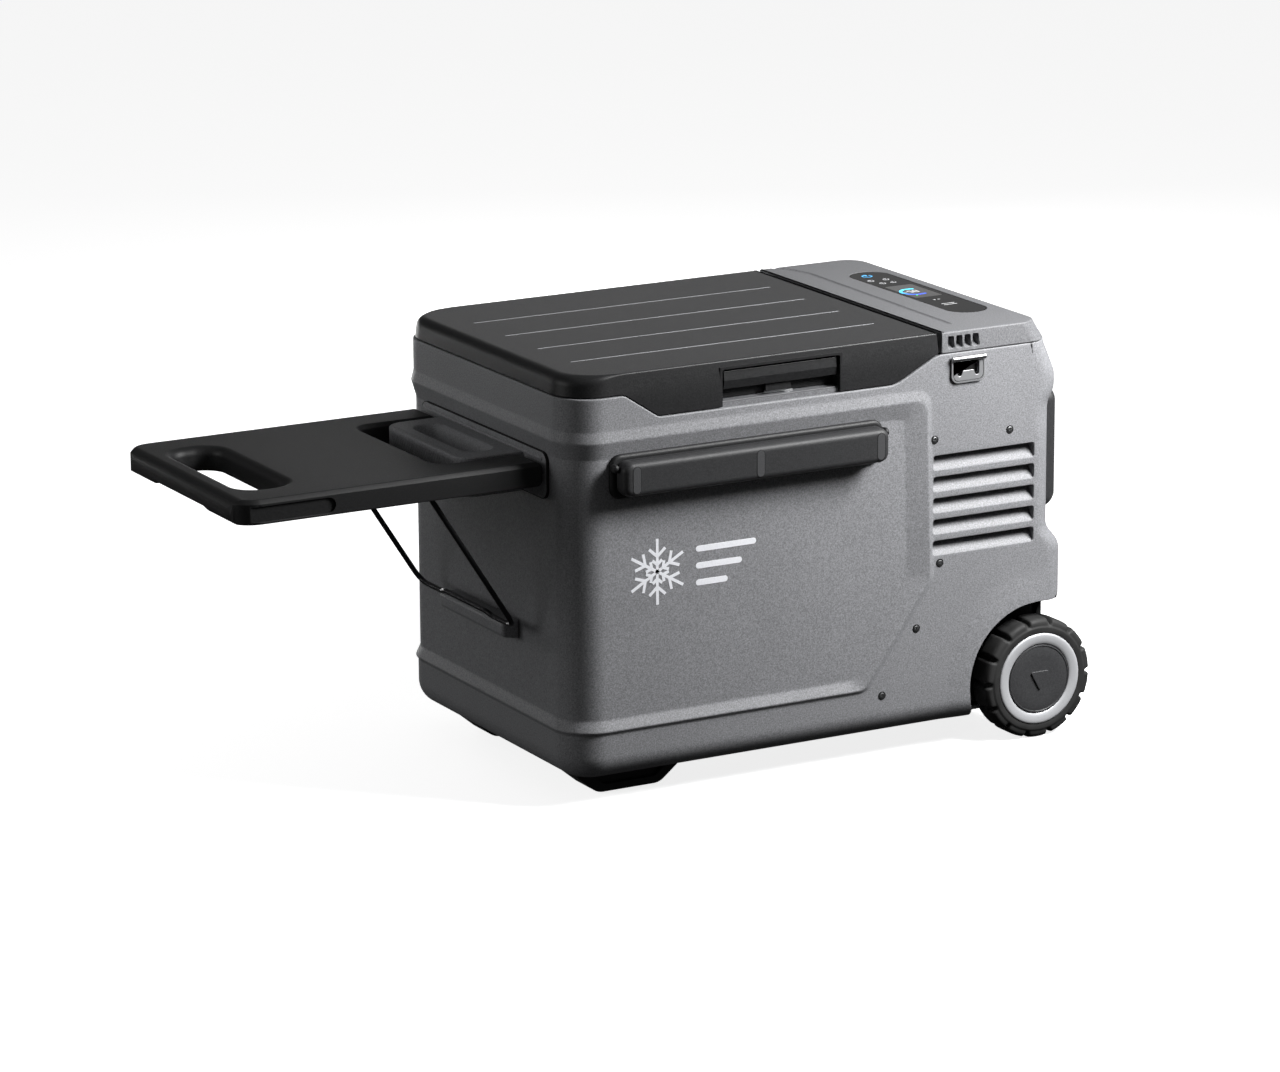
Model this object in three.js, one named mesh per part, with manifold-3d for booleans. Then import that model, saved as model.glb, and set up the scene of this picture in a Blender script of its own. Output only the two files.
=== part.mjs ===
// A wheeled compressor cooler: an insulated chest with a fold-down table at one
// end, and the machine compartment, battery and wheels at the other.
//
// Body frame, millimetres: x runs from the lid's table end (0) towards the
// wheels, y from the middle plane (the latch side is -y), z up from the
// underside of the body. The exported group moves that frame so that its own
// origin lies on the ground, midway along the whole object.

import * as THREE from "three";
import { mergeVertices } from "three/addons/utils/BufferGeometryUtils.js";
import Module from "manifold-3d";

const wasm = await Module();
wasm.setup();

// ---------------------------------------------------------------- dimensions

const GAP = 0.3; // between pieces that touch
const GROUND = 40; // the body's underside above the ground
const FAR = 800; // longer than anything it cuts

const BODY = {
  left: -1,
  right: 620,
  half: 203,
  rim: 420,
  corner: 42,
  endCorner: 30,
  bottom: -9,
  bottomRadius: 28,
  wall: 6,
  floor: -5,
};
const RIDGE = { out: 3, bottom: 44, top: 383, right: 446, low: [368, 452, 165] };
const RECESS = { deep: 2.5, bottom: 57, top: 364, right: 422, low: [352, 425, 172] };
const END_RIB = { low: [115, 182], lowX: 638, high: [362, 381], highX: 629 };

const LID = { right: 465, corner: 46, top: 444, skin: 5, edge: 4, dip: 393.3, dipX: [71.5, 111, 407, 455] };
const NOTCH = { x: [188, 336], top: 434, deep: 18, wall: 3 };
const SEAL = 398; // top of the liner's flange
const CAVITY = { x: [38, 408], half: 163, floor: 52, corner: 25, wall: 2.5 };
const BULKHEAD = [442.3, 446];
const LID_HINGE = { y: 209.5, z: 421, radius: 6, pin: 2.5, places: [85, 375] };

const PANEL = { left: 467.3, topRight: 597, bottomRight: 612, corner: 28 };
const OPENER = { x: [478, 522], z: [385, 416], thick: 2.5, mouth: { x: [486, 514], z: [393, 409] } };
const GLASS = { x: [535, 585], half: 127, thick: 2.2 };

const TABLE = { out: -369, in: -5, half: 150, bottom: 318, top: 345, skin: 5, rim: 6 };
const TABLE_NOTCH = { x: -109, half: 102, corner: 18 };
const TABLE_GRIP = { x: [-338, -281], half: 100, corner: 24 };
const TABLE_PIVOT = { x: -16, z: 328, radius: 4, head: 6 };
const ROD = { radius: 3, pivot: [-138.4, 333.4], rest: [-24, 154], half: 115, bend: 18 };
const JOG = { rise: 4, from: 60, to: 50 };
const LEDGE = { x: -20, half: 77, z: [134, 150] };
const BOSS = { x: -78, half: 97, z: [300, 345] };

const WHEEL = { x: 595, z: 30, tyre: 70, rim: 53, cap: 40, outer: 212, inner: 176, lugs: 14 };
const WELL = { radius: 88, inner: 166, wall: 4 };
const AXLE = 6;

const HANDLE = { x: 218.5, half: 166.5, z: [312.6, 351.3], y: [207.5, 229] };
const HANDLE_PIVOT = { y: 214, z: 343.5, radius: 3 };

const VENT = { x: [457, 590], top: 305, height: 16.3, pitch: 24.5, count: 5 };
const BATTERY = { x: [531, 620.5, 670], half: 120, z: [208, 338], capHalf: 128, capZ: [203, 343] };
const FAN = { x: 523, z: 248, size: 100, blades: 7, hub: 16, tip: 44, y: [-172, -154.3] };
const COMPRESSOR = { x: 512, y: 45, radius: 52, z: [14, 150] };

// ----------------------------------------------------------- shape functions

// A closed three.js geometry as a solid that can be cut and joined.
function solid(geometry) {
  const bare = geometry.index ? geometry.toNonIndexed() : geometry.clone();
  bare.deleteAttribute("normal");
  bare.deleteAttribute("uv");
  const merged = mergeVertices(bare, 1e-4);
  return new wasm.Manifold(
    new wasm.Mesh({
      numProp: 3,
      vertProperties: merged.attributes.position.array,
      triVerts: new Uint32Array(merged.index.array),
    }),
  );
}

const join = (...solids) => solids.reduce((all, next) => all.add(next));
const cut = (base, ...tools) => tools.reduce((left, tool) => left.subtract(tool), base);

// A box between two limits on each axis.
function block([x0, x1], [y0, y1], [z0, z1]) {
  const box = new THREE.BoxGeometry(x1 - x0, y1 - y0, z1 - z0);
  return solid(box.translate((x0 + x1) / 2, (y0 + y1) / 2, (z0 + z1) / 2));
}

// Corners given as [u, v, radius], anticlockwise, each rounded by an arc.
function rounded(corners, steps = 5) {
  const count = corners.length;
  return corners.flatMap(([u, v, radius = 0], i) => {
    const here = new THREE.Vector2(u, v);
    if (!radius) return [here];
    const towards = (j) => {
      const [a, b] = corners[(j + count) % count];
      return new THREE.Vector2(a, b).sub(here).normalize();
    };
    const back = towards(i - 1);
    const ahead = towards(i + 1);
    const half = Math.acos(THREE.MathUtils.clamp(back.dot(ahead), -1, 1)) / 2;
    const middle = back.clone().add(ahead).normalize();
    const centre = here.clone().addScaledVector(middle, radius / Math.sin(half));
    const reach = radius / Math.tan(half);
    const start = here.clone().addScaledVector(back, reach).sub(centre).angle();
    const end = here.clone().addScaledVector(ahead, reach).sub(centre).angle();
    const turn = THREE.MathUtils.euclideanModulo(end - start + Math.PI, 2 * Math.PI) - Math.PI;
    return Array.from({ length: steps + 1 }, (_, k) => {
      const angle = start + (turn * k) / steps;
      return new THREE.Vector2(Math.cos(angle), Math.sin(angle)).multiplyScalar(radius).add(centre);
    });
  });
}

const rectangle = ([u0, u1], [v0, v1], radius = 0, steps = 5) =>
  rounded([[u0, v0, radius], [u1, v0, radius], [u1, v1, radius], [u0, v1, radius]], steps);

function circle(u, v, radius, sides = 24) {
  return Array.from({ length: sides }, (_, k) => {
    const angle = (2 * Math.PI * k) / sides - Math.PI / 2;
    return new THREE.Vector2(u + radius * Math.cos(angle), v + radius * Math.sin(angle));
  });
}

// An outline pushed along an axis: its points are (x, y) for z, (x, z) for y
// and (y, z) for x.
function prism(axis, points, [from, to]) {
  const options = { depth: to - from, bevelEnabled: false };
  const shape = new THREE.ExtrudeGeometry(new THREE.Shape(points), options);
  if (axis === "z") shape.translate(0, 0, from);
  if (axis === "y") shape.rotateX(Math.PI / 2).translate(0, to, 0);
  if (axis === "x") shape.rotateX(Math.PI / 2).rotateZ(Math.PI / 2).translate(from, 0, 0);
  return solid(shape);
}

// A convex skin through level outlines [z, points], with as many points each.
function loft(levels) {
  const count = levels[0][1].length;
  const position = [];
  const index = [];
  levels.forEach(([z, points]) => points.forEach((p) => position.push(p.x, p.y, z)));
  for (let level = 0; level + 1 < levels.length; level++) {
    for (let i = 0; i < count; i++) {
      const a = level * count + i;
      const b = level * count + ((i + 1) % count);
      index.push(a, b, b + count, a, b + count, a + count);
    }
  }
  const last = (levels.length - 1) * count;
  for (let i = 1; i + 1 < count; i++) {
    index.push(0, i + 1, i, last, last + i, last + i + 1);
  }
  const geometry = new THREE.BufferGeometry();
  geometry.setAttribute("position", new THREE.Float32BufferAttribute(position, 3));
  geometry.setIndex(index);
  return solid(geometry);
}

// Stacked circles [z, radius] about an upright axis.
const turned = (x, y, rings, sides = 24) =>
  loft(rings.map(([z, radius]) => [z, circle(x, y, radius, sides)]));

// A round bar through points, rounded at its inner points by the bends given.
function bar(points, radius, bends, steps, sides = 8) {
  const path = new THREE.CurvePath();
  const spots = points.map((p) => new THREE.Vector3(...p));
  let from = spots[0];
  spots.slice(1, -1).forEach((corner, i) => {
    const before = spots[i].clone().sub(corner).setLength(bends[i]).add(corner);
    const after = spots[i + 2].clone().sub(corner).setLength(bends[i]).add(corner);
    path.add(new THREE.LineCurve3(from, before));
    path.add(new THREE.QuadraticBezierCurve3(before, corner, after));
    from = after;
  });
  path.add(new THREE.LineCurve3(from, spots.at(-1)));
  const section = new THREE.Shape(circle(0, 0, radius, sides));
  return solid(new THREE.ExtrudeGeometry(section, { steps, extrudePath: path }));
}

// ------------------------------------------------------------------ materials

function finish(color, roughness, metalness = 0) {
  return new THREE.MeshStandardMaterial({ color, roughness, metalness });
}

const MATERIAL = {
  shell: finish(0x6c6d70, 0.6),
  panel: finish(0x68696c, 0.55),
  lid: finish(0x2e2f31, 0.6),
  black: finish(0x18191b, 0.55),
  handle: finish(0x2a2b2d, 0.6),
  liner: finish(0xc9cbcc, 0.45),
  foam: finish(0xe6dcae, 0.95),
  rubber: finish(0x1b1b1c, 0.85),
  tyre: finish(0x161617, 0.8),
  silver: finish(0xa3a5a8, 0.35, 0.6),
  steel: finish(0x8e9093, 0.35, 1),
  blackSteel: finish(0x17181a, 0.4, 0.6),
  aluminium: finish(0xb9bbbd, 0.4, 1),
  copper: finish(0xb06a45, 0.35, 1),
  glass: finish(0x08090b, 0.08),
  board: finish(0x1f4a2c, 0.6),
};

const origin = new THREE.Group();
origin.name = "compressor_cooler";
const body = new THREE.Group();
const span = [TABLE.out, BATTERY.x[2]];
body.position.set(-(span[0] + span[1]) / 2, 0, GROUND);
origin.add(body);

// Names a solid and adds it to the scene, by default in the body frame.
function piece(name, shape, material, parent = body) {
  const made = shape.getMesh();
  const geometry = new THREE.BufferGeometry();
  geometry.setAttribute("position", new THREE.BufferAttribute(made.vertProperties, 3));
  geometry.setIndex(new THREE.BufferAttribute(made.triVerts, 1));
  const flat = geometry.toNonIndexed();
  flat.computeVertexNormals();
  const mesh = new THREE.Mesh(flat, material);
  mesh.name = name;
  parent.add(mesh);
  return mesh;
}

// --------------------------------------------------------------------- chest

// The body's plan, set in from its widest, with its corners shrunk to match.
function plan(inset, right = BODY.right) {
  const left = BODY.left + inset;
  const half = BODY.half - inset;
  const table = Math.max(BODY.corner - inset, 4);
  const machine = Math.max(BODY.endCorner - inset, 4);
  const corners = [[left, -half, table], [right - inset, -half, machine]];
  return rounded([...corners, [right - inset, half, machine], [left, half, table]], 6);
}

// Rounded bottom edge: levels from the bottom up to where the walls are upright.
function bottomLevels(inset, bottom) {
  const radius = BODY.bottomRadius - inset;
  return [0, 15, 30, 45, 60, 75, 90].map((degrees) => {
    const angle = THREE.MathUtils.degToRad(degrees);
    return [bottom + radius * (1 - Math.cos(angle)), plan(inset + radius * (1 - Math.sin(angle)))];
  });
}

// The plain inside of the body, up to a level.
const inside = (inset, bottom, top) => loft([...bottomLevels(inset, bottom), [top, plan(inset)]]);

// The outline of the side recess or its ridge in (x, z), past the table end.
function sideOutline({ bottom, top, right, low: [foot, knee, kneeZ] }) {
  return rounded([[-FAR, bottom], [foot, bottom, 12], [knee, kneeZ, 12], [right, top, 10], [-FAR, top]], 3);
}

// Room for one wheel in (x, z): an arch over the wheel, open at the machine end.
function wellOutline(grow) {
  const radius = WELL.radius + grow;
  const arc = Array.from({ length: 13 }, (_, k) => {
    const angle = Math.PI / 2 + (Math.PI * k) / 12;
    return new THREE.Vector2(WHEEL.x + radius * Math.cos(angle), WHEEL.z + radius * Math.sin(angle));
  });
  const low = WHEEL.z - radius;
  return [...arc, new THREE.Vector2(FAR, low), new THREE.Vector2(FAR, WHEEL.z + radius)];
}

function wells(grow) {
  const inner = WELL.inner - grow;
  const outline = wellOutline(grow);
  return join(prism("y", outline, [inner, FAR]), prism("y", outline, [-FAR, -inner]));
}

function ventSlots() {
  const slots = Array.from({ length: VENT.count }, (_, k) => {
    const top = VENT.top - k * VENT.pitch;
    const outline = rectangle(VENT.x, [top - VENT.height, top], 3, 3);
    return prism("y", outline, [-FAR, FAR]);
  });
  return join(...slots);
}

function outerShell() {
  const ribbed = [
    [END_RIB.low[0] - 12, BODY.right],
    [END_RIB.low[0], END_RIB.lowX],
    [END_RIB.low[1], END_RIB.lowX],
    [END_RIB.low[1] + 20, BODY.right],
    [END_RIB.high[0] - 15, BODY.right],
    [END_RIB.high[0], END_RIB.highX],
    [END_RIB.high[1], END_RIB.highX],
    [BODY.rim - GAP, PANEL.bottomRight],
  ];
  const skin = loft([...bottomLevels(0, BODY.bottom), ...ribbed.map(([z, right]) => [z, plan(0, right)])]);
  const proud = prism("z", plan(-RIDGE.out), [0, BODY.rim]);
  const ridge = proud.intersect(prism("y", sideOutline(RIDGE), [-FAR, FAR]));
  const recess = cut(
    prism("y", sideOutline(RECESS), [-FAR, FAR]),
    prism("z", plan(RECESS.deep, FAR), [-FAR, FAR]),
  );
  const [x0, x1, x2, x3] = LID.dipX;
  const dipFloor = LID.dip - 2;
  const dipTop = BODY.rim + 4;
  const dip = rounded([[x0 - 7, dipTop], [x1 - 3, dipFloor, 8], [x2 + 3, dipFloor, 8], [x3 + 7, dipTop]], 3);
  const room = [...bottomLevels(BODY.wall, BODY.floor), [END_RIB.high[1], plan(BODY.wall)]];
  const hollow = cut(loft([...room, [BODY.rim + 1, plan(BODY.wall, PANEL.bottomRight)]]), wells(WELL.wall));
  const bay = rectangle([-BATTERY.half - 4, BATTERY.half + 4], [BATTERY.z[0] - 4, BATTERY.z[1] + 4], 8);
  return cut(
    join(skin, ridge),
    recess,
    wells(0),
    hollow,
    prism("y", dip, [-FAR, -BODY.half + BODY.wall + 8]),
    ventSlots(),
    prism("x", bay, [600, FAR]),
    openerPocket(),
    prism("y", circle(WHEEL.x, WHEEL.z, AXLE + GAP), [-FAR, FAR]),
  );
}

const FOOT = { half: 146, pod: 45, web: { x: [66, 150], bottom: -15 } };

// Two feet, joined by a web close under the body.
function footBar() {
  const top = BODY.bottom - GAP;
  const left = [[40, top], [31, -16, 6], [60, -GROUND, 20]];
  const right = [[138, -GROUND, 20], [168, -16, 6], [160, top]];
  const foot = (from, to) => prism("y", rounded([...left, ...right], 4), [from, to]);
  const { half, pod, web } = FOOT;
  const bridge = block(web.x, [-half, half], [web.bottom, top]);
  return join(bridge, foot(-half, pod - half), foot(half - pod, half));
}

// The cold box's plan, grown outwards from its cavity.
function coldPlan(grow) {
  const [x0, x1] = CAVITY.x;
  const half = CAVITY.half + grow;
  return rectangle([x0 - grow, x1 + grow], [-half, half], CAVITY.corner + grow);
}

function innerLiner() {
  const flange = prism("z", plan(BODY.wall + GAP), [SEAL - 3, SEAL]);
  const deck = flange.intersect(block([-FAR, LID.right], [-FAR, FAR], [0, FAR]));
  const tub = prism("z", coldPlan(CAVITY.wall), [CAVITY.floor - CAVITY.wall, SEAL]);
  return cut(join(deck, tub), prism("z", coldPlan(0), [CAVITY.floor, FAR]));
}

const EVAPORATOR = { z: [120, 330], thick: 1.5 };

function evaporator() {
  const inner = CAVITY.wall + GAP;
  const band = prism("z", coldPlan(inner + EVAPORATOR.thick), EVAPORATOR.z);
  return cut(band, prism("z", coldPlan(inner), [0, FAR]));
}

const behind = (x0, x1) => block([x0, x1], [-FAR, FAR], [-FAR, FAR]);

function insulationFoam() {
  const fill = inside(BODY.wall + GAP, BODY.floor + GAP, SEAL - 3 - GAP);
  const [low, high] = EVAPORATOR.z;
  return cut(
    fill.intersect(behind(-FAR, BULKHEAD[0] - GAP)),
    prism("z", coldPlan(CAVITY.wall + GAP), [CAVITY.floor - CAVITY.wall - GAP, FAR]),
    prism("z", coldPlan(CAVITY.wall + EVAPORATOR.thick + 2 * GAP), [low - GAP, high + GAP]),
  );
}

function bulkhead() {
  const room = inside(BODY.wall + GAP, BODY.floor + GAP, SEAL - 3 - GAP);
  return room.intersect(behind(...BULKHEAD));
}

piece("outer_shell", outerShell(), MATERIAL.shell);
piece("foot_bar", footBar(), MATERIAL.black);
piece("inner_liner", innerLiner(), MATERIAL.liner);
piece("evaporator", evaporator(), MATERIAL.aluminium);
piece("insulation_foam", insulationFoam(), MATERIAL.foam);
piece("bulkhead", bulkhead(), MATERIAL.liner);

// ----------------------------------------------------------------------- lid

// The lid's plan, set in from its lower edge, square where it meets the panel.
function lidPlan(inset, steps = 6) {
  const left = BODY.left + inset;
  const half = BODY.half - inset;
  const corner = LID.corner - inset;
  const right = LID.right - Math.min(inset, 4);
  return rounded([[left, -half, corner], [right, -half, 3], [right, half, 3], [left, half, corner]], steps);
}

// The hand notch for the latch, with its walls when grown.
function notch(grow) {
  const [x0, x1] = NOTCH.x;
  const back = -BODY.half + NOTCH.deep + grow;
  return block([x0 - grow, x1 + grow], [-FAR, back], [-FAR, NOTCH.top + grow]);
}

const LEVER = { x: [190, 334], y: [-198.5, -192], z: [413.5, 431.5], pivotY: -194, pivotZ: 429.5, pin: 2.5 };

function lidKnuckles() {
  const { y, z, radius, places } = LID_HINGE;
  const knuckle = (x) =>
    join(
      prism("x", circle(y, z, radius, 16), [x - 3.85, x + 3.85]),
      block([x - 3.85, x + 3.85], [BODY.half - 4, y], [z, z + radius]),
    );
  return join(...places.flatMap((x) => [knuckle(x - 11.15), knuckle(x + 11.15)]));
}

function lidShell() {
  const outer = loft([
    [BODY.rim, lidPlan(0)],
    [LID.top - LID.edge, lidPlan(2)],
    [LID.top - 1, lidPlan(3)],
    [LID.top, lidPlan(5)],
  ]);
  const [x0, x1, x2, x3] = LID.dipX;
  const top = BODY.rim + 2;
  const skirtOutline = rounded([[x0 - 2, top], [x1, LID.dip, 8], [x2, LID.dip, 8], [x3 + 2, top]], 3);
  const skirt = prism("y", skirtOutline, [-BODY.half, -BODY.half + LID.skin]);
  const back = -BODY.half + NOTCH.deep;
  const apron = block(NOTCH.x, [back, back + NOTCH.wall], [SEAL + 7, BODY.rim + 2]);
  const hollow = prism("z", lidPlan(BODY.wall), [0, LID.top - LID.skin]);
  const { pivotY, pivotZ, pin } = LEVER;
  return cut(
    join(outer, skirt, apron, lidKnuckles()),
    cut(hollow, notch(NOTCH.wall), block([-FAR, FAR], [-FAR, -BODY.half + LID.skin], [0, BODY.rim])),
    notch(0),
    prism("x", circle(pivotY, pivotZ, pin + GAP, 12), [NOTCH.x[0] - 3, NOTCH.x[1] + 3]),
    prism("x", circle(LID_HINGE.y, LID_HINGE.z, LID_HINGE.pin + GAP, 12), [-FAR, FAR]),
  );
}

const TRAY = { inset: 12, bottom: 401, top: 430, wall: 3 };

function lidLiner() {
  const { inset, bottom, top, wall } = TRAY;
  return cut(
    prism("z", lidPlan(inset), [bottom, top]),
    prism("z", lidPlan(inset + wall), [bottom + wall, FAR]),
    notch(NOTCH.wall + GAP),
  );
}

function lidFoam() {
  const { inset, bottom, wall } = TRAY;
  const fill = prism("z", lidPlan(inset + wall + GAP), [bottom + wall + GAP, LID.top - LID.skin - GAP]);
  return cut(fill, notch(NOTCH.wall + GAP));
}

function lidGasket() {
  const height = [SEAL + GAP, TRAY.bottom - GAP];
  return cut(prism("z", coldPlan(12), height), prism("z", coldPlan(6), [0, FAR]));
}

function latchLever() {
  const { x, y, z, pivotY, pivotZ, pin } = LEVER;
  const middle = (x[0] + x[1]) / 2;
  const paddle = prism("y", rectangle(x, z, 2.5, 2), y);
  const pins = prism("x", circle(pivotY, pivotZ, pin, 12), [NOTCH.x[0] - 2, NOTCH.x[1] + 2]);
  const hook = block([middle - 16, middle + 16], [-194, -190.5], [402, 424]);
  const lip = block([middle - 16, middle + 16], [-194, -188.5], [402, 404]);
  return join(paddle, pins, hook, lip);
}

// A steel plate on the flange, with the blade that the latch's hook closes on.
function latchStriker() {
  const middle = (NOTCH.x[0] + NOTCH.x[1]) / 2;
  const plate = block([middle - 22, middle + 22], [-187.8, -175.5], [SEAL + GAP, SEAL + 1.5]);
  const blade = block([middle - 14, middle + 14], [-187.8, -186], [SEAL + 1, 408]);
  return join(plate, blade);
}

function hingeBracket(x) {
  const { y, z, radius, pin } = LID_HINGE;
  const wall = BODY.half + GAP;
  return cut(
    join(
      prism("x", circle(y, z, radius, 16), [x - 7, x + 7]),
      block([x - 7, x + 7], [wall, y + 3], [400, z]),
      block([x - 16, x + 16], [wall, wall + 3], [388, 412]),
    ),
    prism("x", circle(y, z, pin + GAP, 12), [-FAR, FAR]),
  );
}

function hingePin(x) {
  return prism("x", circle(LID_HINGE.y, LID_HINGE.z, LID_HINGE.pin, 12), [x - 15.5, x + 15.5]);
}

piece("lid_shell", lidShell(), MATERIAL.lid);
piece("lid_liner", lidLiner(), MATERIAL.liner);
piece("lid_foam", lidFoam(), MATERIAL.foam);
piece("lid_gasket", lidGasket(), MATERIAL.rubber);
piece("latch_lever", latchLever(), MATERIAL.lid);
piece("latch_striker", latchStriker(), MATERIAL.steel);
LID_HINGE.places.forEach((x, i) => {
  const end = ["table_end", "machine_end"][i];
  piece("lid_hinge_" + end, hingeBracket(x), MATERIAL.black);
  piece("lid_hinge_pin_" + end, hingePin(x), MATERIAL.steel);
});

// ------------------------------------------------------------- control panel

function panelPlan(inset, right) {
  const half = BODY.half - inset;
  const corner = PANEL.corner - inset / 2;
  const left = PANEL.left + Math.min(inset, 3);
  const round = [[right - inset, -half, corner], [right - inset, half, corner]];
  return rounded([[left, -half, 2], ...round, [left, half, 2]], 6);
}

function panelVents() {
  const slot = (k) => {
    const x = 475.3 + 10.8 * k;
    return block([x, x + 8], [-FAR, FAR], [425, 439]);
  };
  return join(...[0, 1, 2, 3].map(slot));
}

function topPanel() {
  const outer = loft([
    [BODY.rim, panelPlan(0, PANEL.bottomRight)],
    [LID.top - 4, panelPlan(2, PANEL.topRight + 4)],
    [LID.top, panelPlan(4, PANEL.topRight + 4)],
  ]);
  const pocket = prism("z", glassPlan(0), [LID.top - GLASS.thick - GAP, FAR]);
  const inner = loft([
    [0, panelPlan(5, PANEL.bottomRight)],
    [BODY.rim, panelPlan(5, PANEL.bottomRight)],
    [LID.top - LID.skin, panelPlan(7, PANEL.topRight + 4)],
  ]);
  return cut(outer, inner, pocket, panelVents());
}

function glassPlan(inset) {
  const [x0, x1] = GLASS.x;
  const half = GLASS.half - inset;
  return rectangle([x0 + inset, x1 - inset], [-half, half], (x1 - x0) / 2 - inset - 0.01, 8);
}

function displayBoard() {
  const under = LID.top - LID.skin - GAP;
  return join(
    block([540, 580], [-100, 100], [under - 1.6, under]),
    block([545, 575], [-30, 44], [under - 5, under - 1.6]),
    block([548, 572], [-90, -60], [under - 7, under - 1.6]),
  );
}

// A sheet-steel bottle opener under the vents: rolled top edge, mouth and tooth.
function bottleOpener() {
  const { x: [x0, x1], z: [z0, z1], thick, mouth } = OPENER;
  const face = -BODY.half - GAP;
  const plate = rounded([[x0, z0, 9], [x1, z0, 9], [x1, z1], [x0, z1]], 4);
  const roll = prism("x", circle(face - 3, z1 - 3, 3, 12), [x0, x1]);
  const [m0, m1] = mouth.x;
  const [low, high] = mouth.z;
  const tooth = [[m0 + 5, low, 2], [m0 + 6, low + 6], [m1 - 6, low + 6], [m1 - 5, low, 2]];
  const hole = rounded([[m0, low, 2], ...tooth, [m1, low, 2], [m1, high], [m0, high]], 2);
  return cut(join(prism("y", plate, [face - thick, face]), roll), prism("y", hole, [-FAR, face]));
}

// The pocket in the body behind the opener's mouth, where its screw sits.
function openerPocket() {
  const { mouth } = OPENER;
  return prism("y", rectangle(mouth.x, mouth.z, 2, 2), [-FAR, -BODY.half + 3]);
}

const openerScrew = () => prism("y", circle(500, 405, 3.5, 12), [-BODY.half + 0.8, -BODY.half + 3 - GAP]);

piece("top_panel", topPanel(), MATERIAL.panel);
piece("display_glass", prism("z", glassPlan(GAP), [LID.top - GLASS.thick, LID.top]), MATERIAL.glass);
piece("display_board", displayBoard(), MATERIAL.board);
piece("bottle_opener", bottleOpener(), MATERIAL.steel);
piece("opener_screw", openerScrew(), MATERIAL.steel);

// --------------------------------------------------------- machine compartment

function compressor() {
  const { x, y, radius, z: [low, high] } = COMPRESSOR;
  const shell = turned(x, y, [
    [low, radius - 12],
    [low + 10, radius],
    [high - 40, radius],
    [high - 12, radius - 12],
    [high, radius - 30],
  ]);
  const pump = turned(x, y, [[low - 1, radius - 12 - 4], [high - 20, radius - 12 - 4]]);
  const terminals = block([x - 20, x + 20], [y + radius - 6, y + radius + 14], [low + 30, low + 80]);
  return join(cut(shell, pump), terminals);
}

function compressorBracket() {
  const { x, y, radius, z: [low] } = COMPRESSOR;
  const floor = BODY.floor + GAP;
  const reach = radius + 6;
  const outline = rectangle([x - radius, x + radius], [y - reach, y + reach], 12, 3);
  const plate = prism("z", outline, [floor, floor + 4]);
  const post = (i, j) => turned(x + i * 24, y + j * 24, [[floor + 2, 9], [low - GAP, 7]], 12);
  return join(plate, post(-1, -1), post(1, -1), post(-1, 1), post(1, 1));
}

function condenser() {
  const [x0, x1] = [458, 590];
  const frame = block([x0, x1], [-196, -176], [190, 306]);
  const pitch = (x1 - x0 - 4) / 13;
  const gaps = Array.from({ length: 13 }, (_, k) => {
    const x = x0 + 3 + k * pitch;
    return block([x, x + pitch - 2], [-FAR, 0], [194, 302]);
  });
  return cut(frame, ...gaps);
}

function fanShroud() {
  const { x, z, size, tip, y } = FAN;
  const half = size / 2;
  const back = y[1] + GAP;
  const frame = prism("y", rectangle([x - half, x + half], [z - half, z + half], 8, 2), [-175.7, back + 4]);
  const duct = prism("y", circle(x, z, tip + 2, 32), [-FAR, FAR]);
  const spoke = (turn) => {
    const strut = new THREE.BoxGeometry(size - 6, 4, 5).rotateY(turn);
    return solid(strut.translate(x, back + 2, z));
  };
  const stator = prism("y", circle(x, z, 15, 16), [back, back + 4]);
  const shaft = prism("y", circle(x, z, 2, 12), [y[0] + 4, back + 2]);
  return join(cut(frame, duct), spoke(0.6), spoke(0.6 + Math.PI / 2), stator, shaft);
}

function fanRotor() {
  const { x, z, blades, hub, tip, y } = FAN;
  const middle = (y[0] + y[1]) / 2;
  const blade = (k) => {
    const vane = new THREE.BoxGeometry(tip - hub + 3, 1.6, 17);
    vane.rotateX(0.7).translate((tip + hub) / 2 - 1.5, 0, 0);
    return solid(vane.rotateY((2 * Math.PI * k) / blades).translate(x, middle, z));
  };
  const vanes = Array.from({ length: blades }, (_, k) => blade(k));
  const core = prism("y", circle(x, z, hub, 20), y);
  return cut(join(core, ...vanes), prism("y", circle(x, z, 2 + GAP, 12), [y[0] + 3, 0]));
}

function controlBoard() {
  return join(
    block([462, 600], [-75, 75], [360, 361.6]),
    block([470, 500], [-60, -20], [361.6, 380]),
    block([520, 560], [10, 60], [361.6, 374]),
    block([575, 592], [-60, 60], [361.6, 370]),
  );
}

function batterySection(inset, [half, [low, high]]) {
  return rectangle([-half + inset, half - inset], [low + inset, high - inset], 10 - inset, 4);
}

const PACK = [BATTERY.half, BATTERY.z];

function batteryBay() {
  const sleeve = prism("x", batterySection(-GAP * 2 - 3, PACK), [516, BATTERY.x[1] - 1]);
  return cut(sleeve, prism("x", batterySection(-GAP * 2, PACK), [519, FAR]));
}

function batteryPack() {
  const [back, face, end] = BATTERY.x;
  const cap = [BATTERY.capHalf, BATTERY.capZ];
  const slab = prism("x", batterySection(0, cap), [face, end]);
  const low = [[face - 1, 202], [end - 12, 202], [end, 222]];
  const high = [[end, 330, 12], [end - 12, 344, 8], [face - 1, 344]];
  const side = prism("y", rounded([...low, ...high], 4), [-FAR, FAR]);
  return join(prism("x", batterySection(0, PACK), [back, face + 1]), slab.intersect(side));
}

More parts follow.
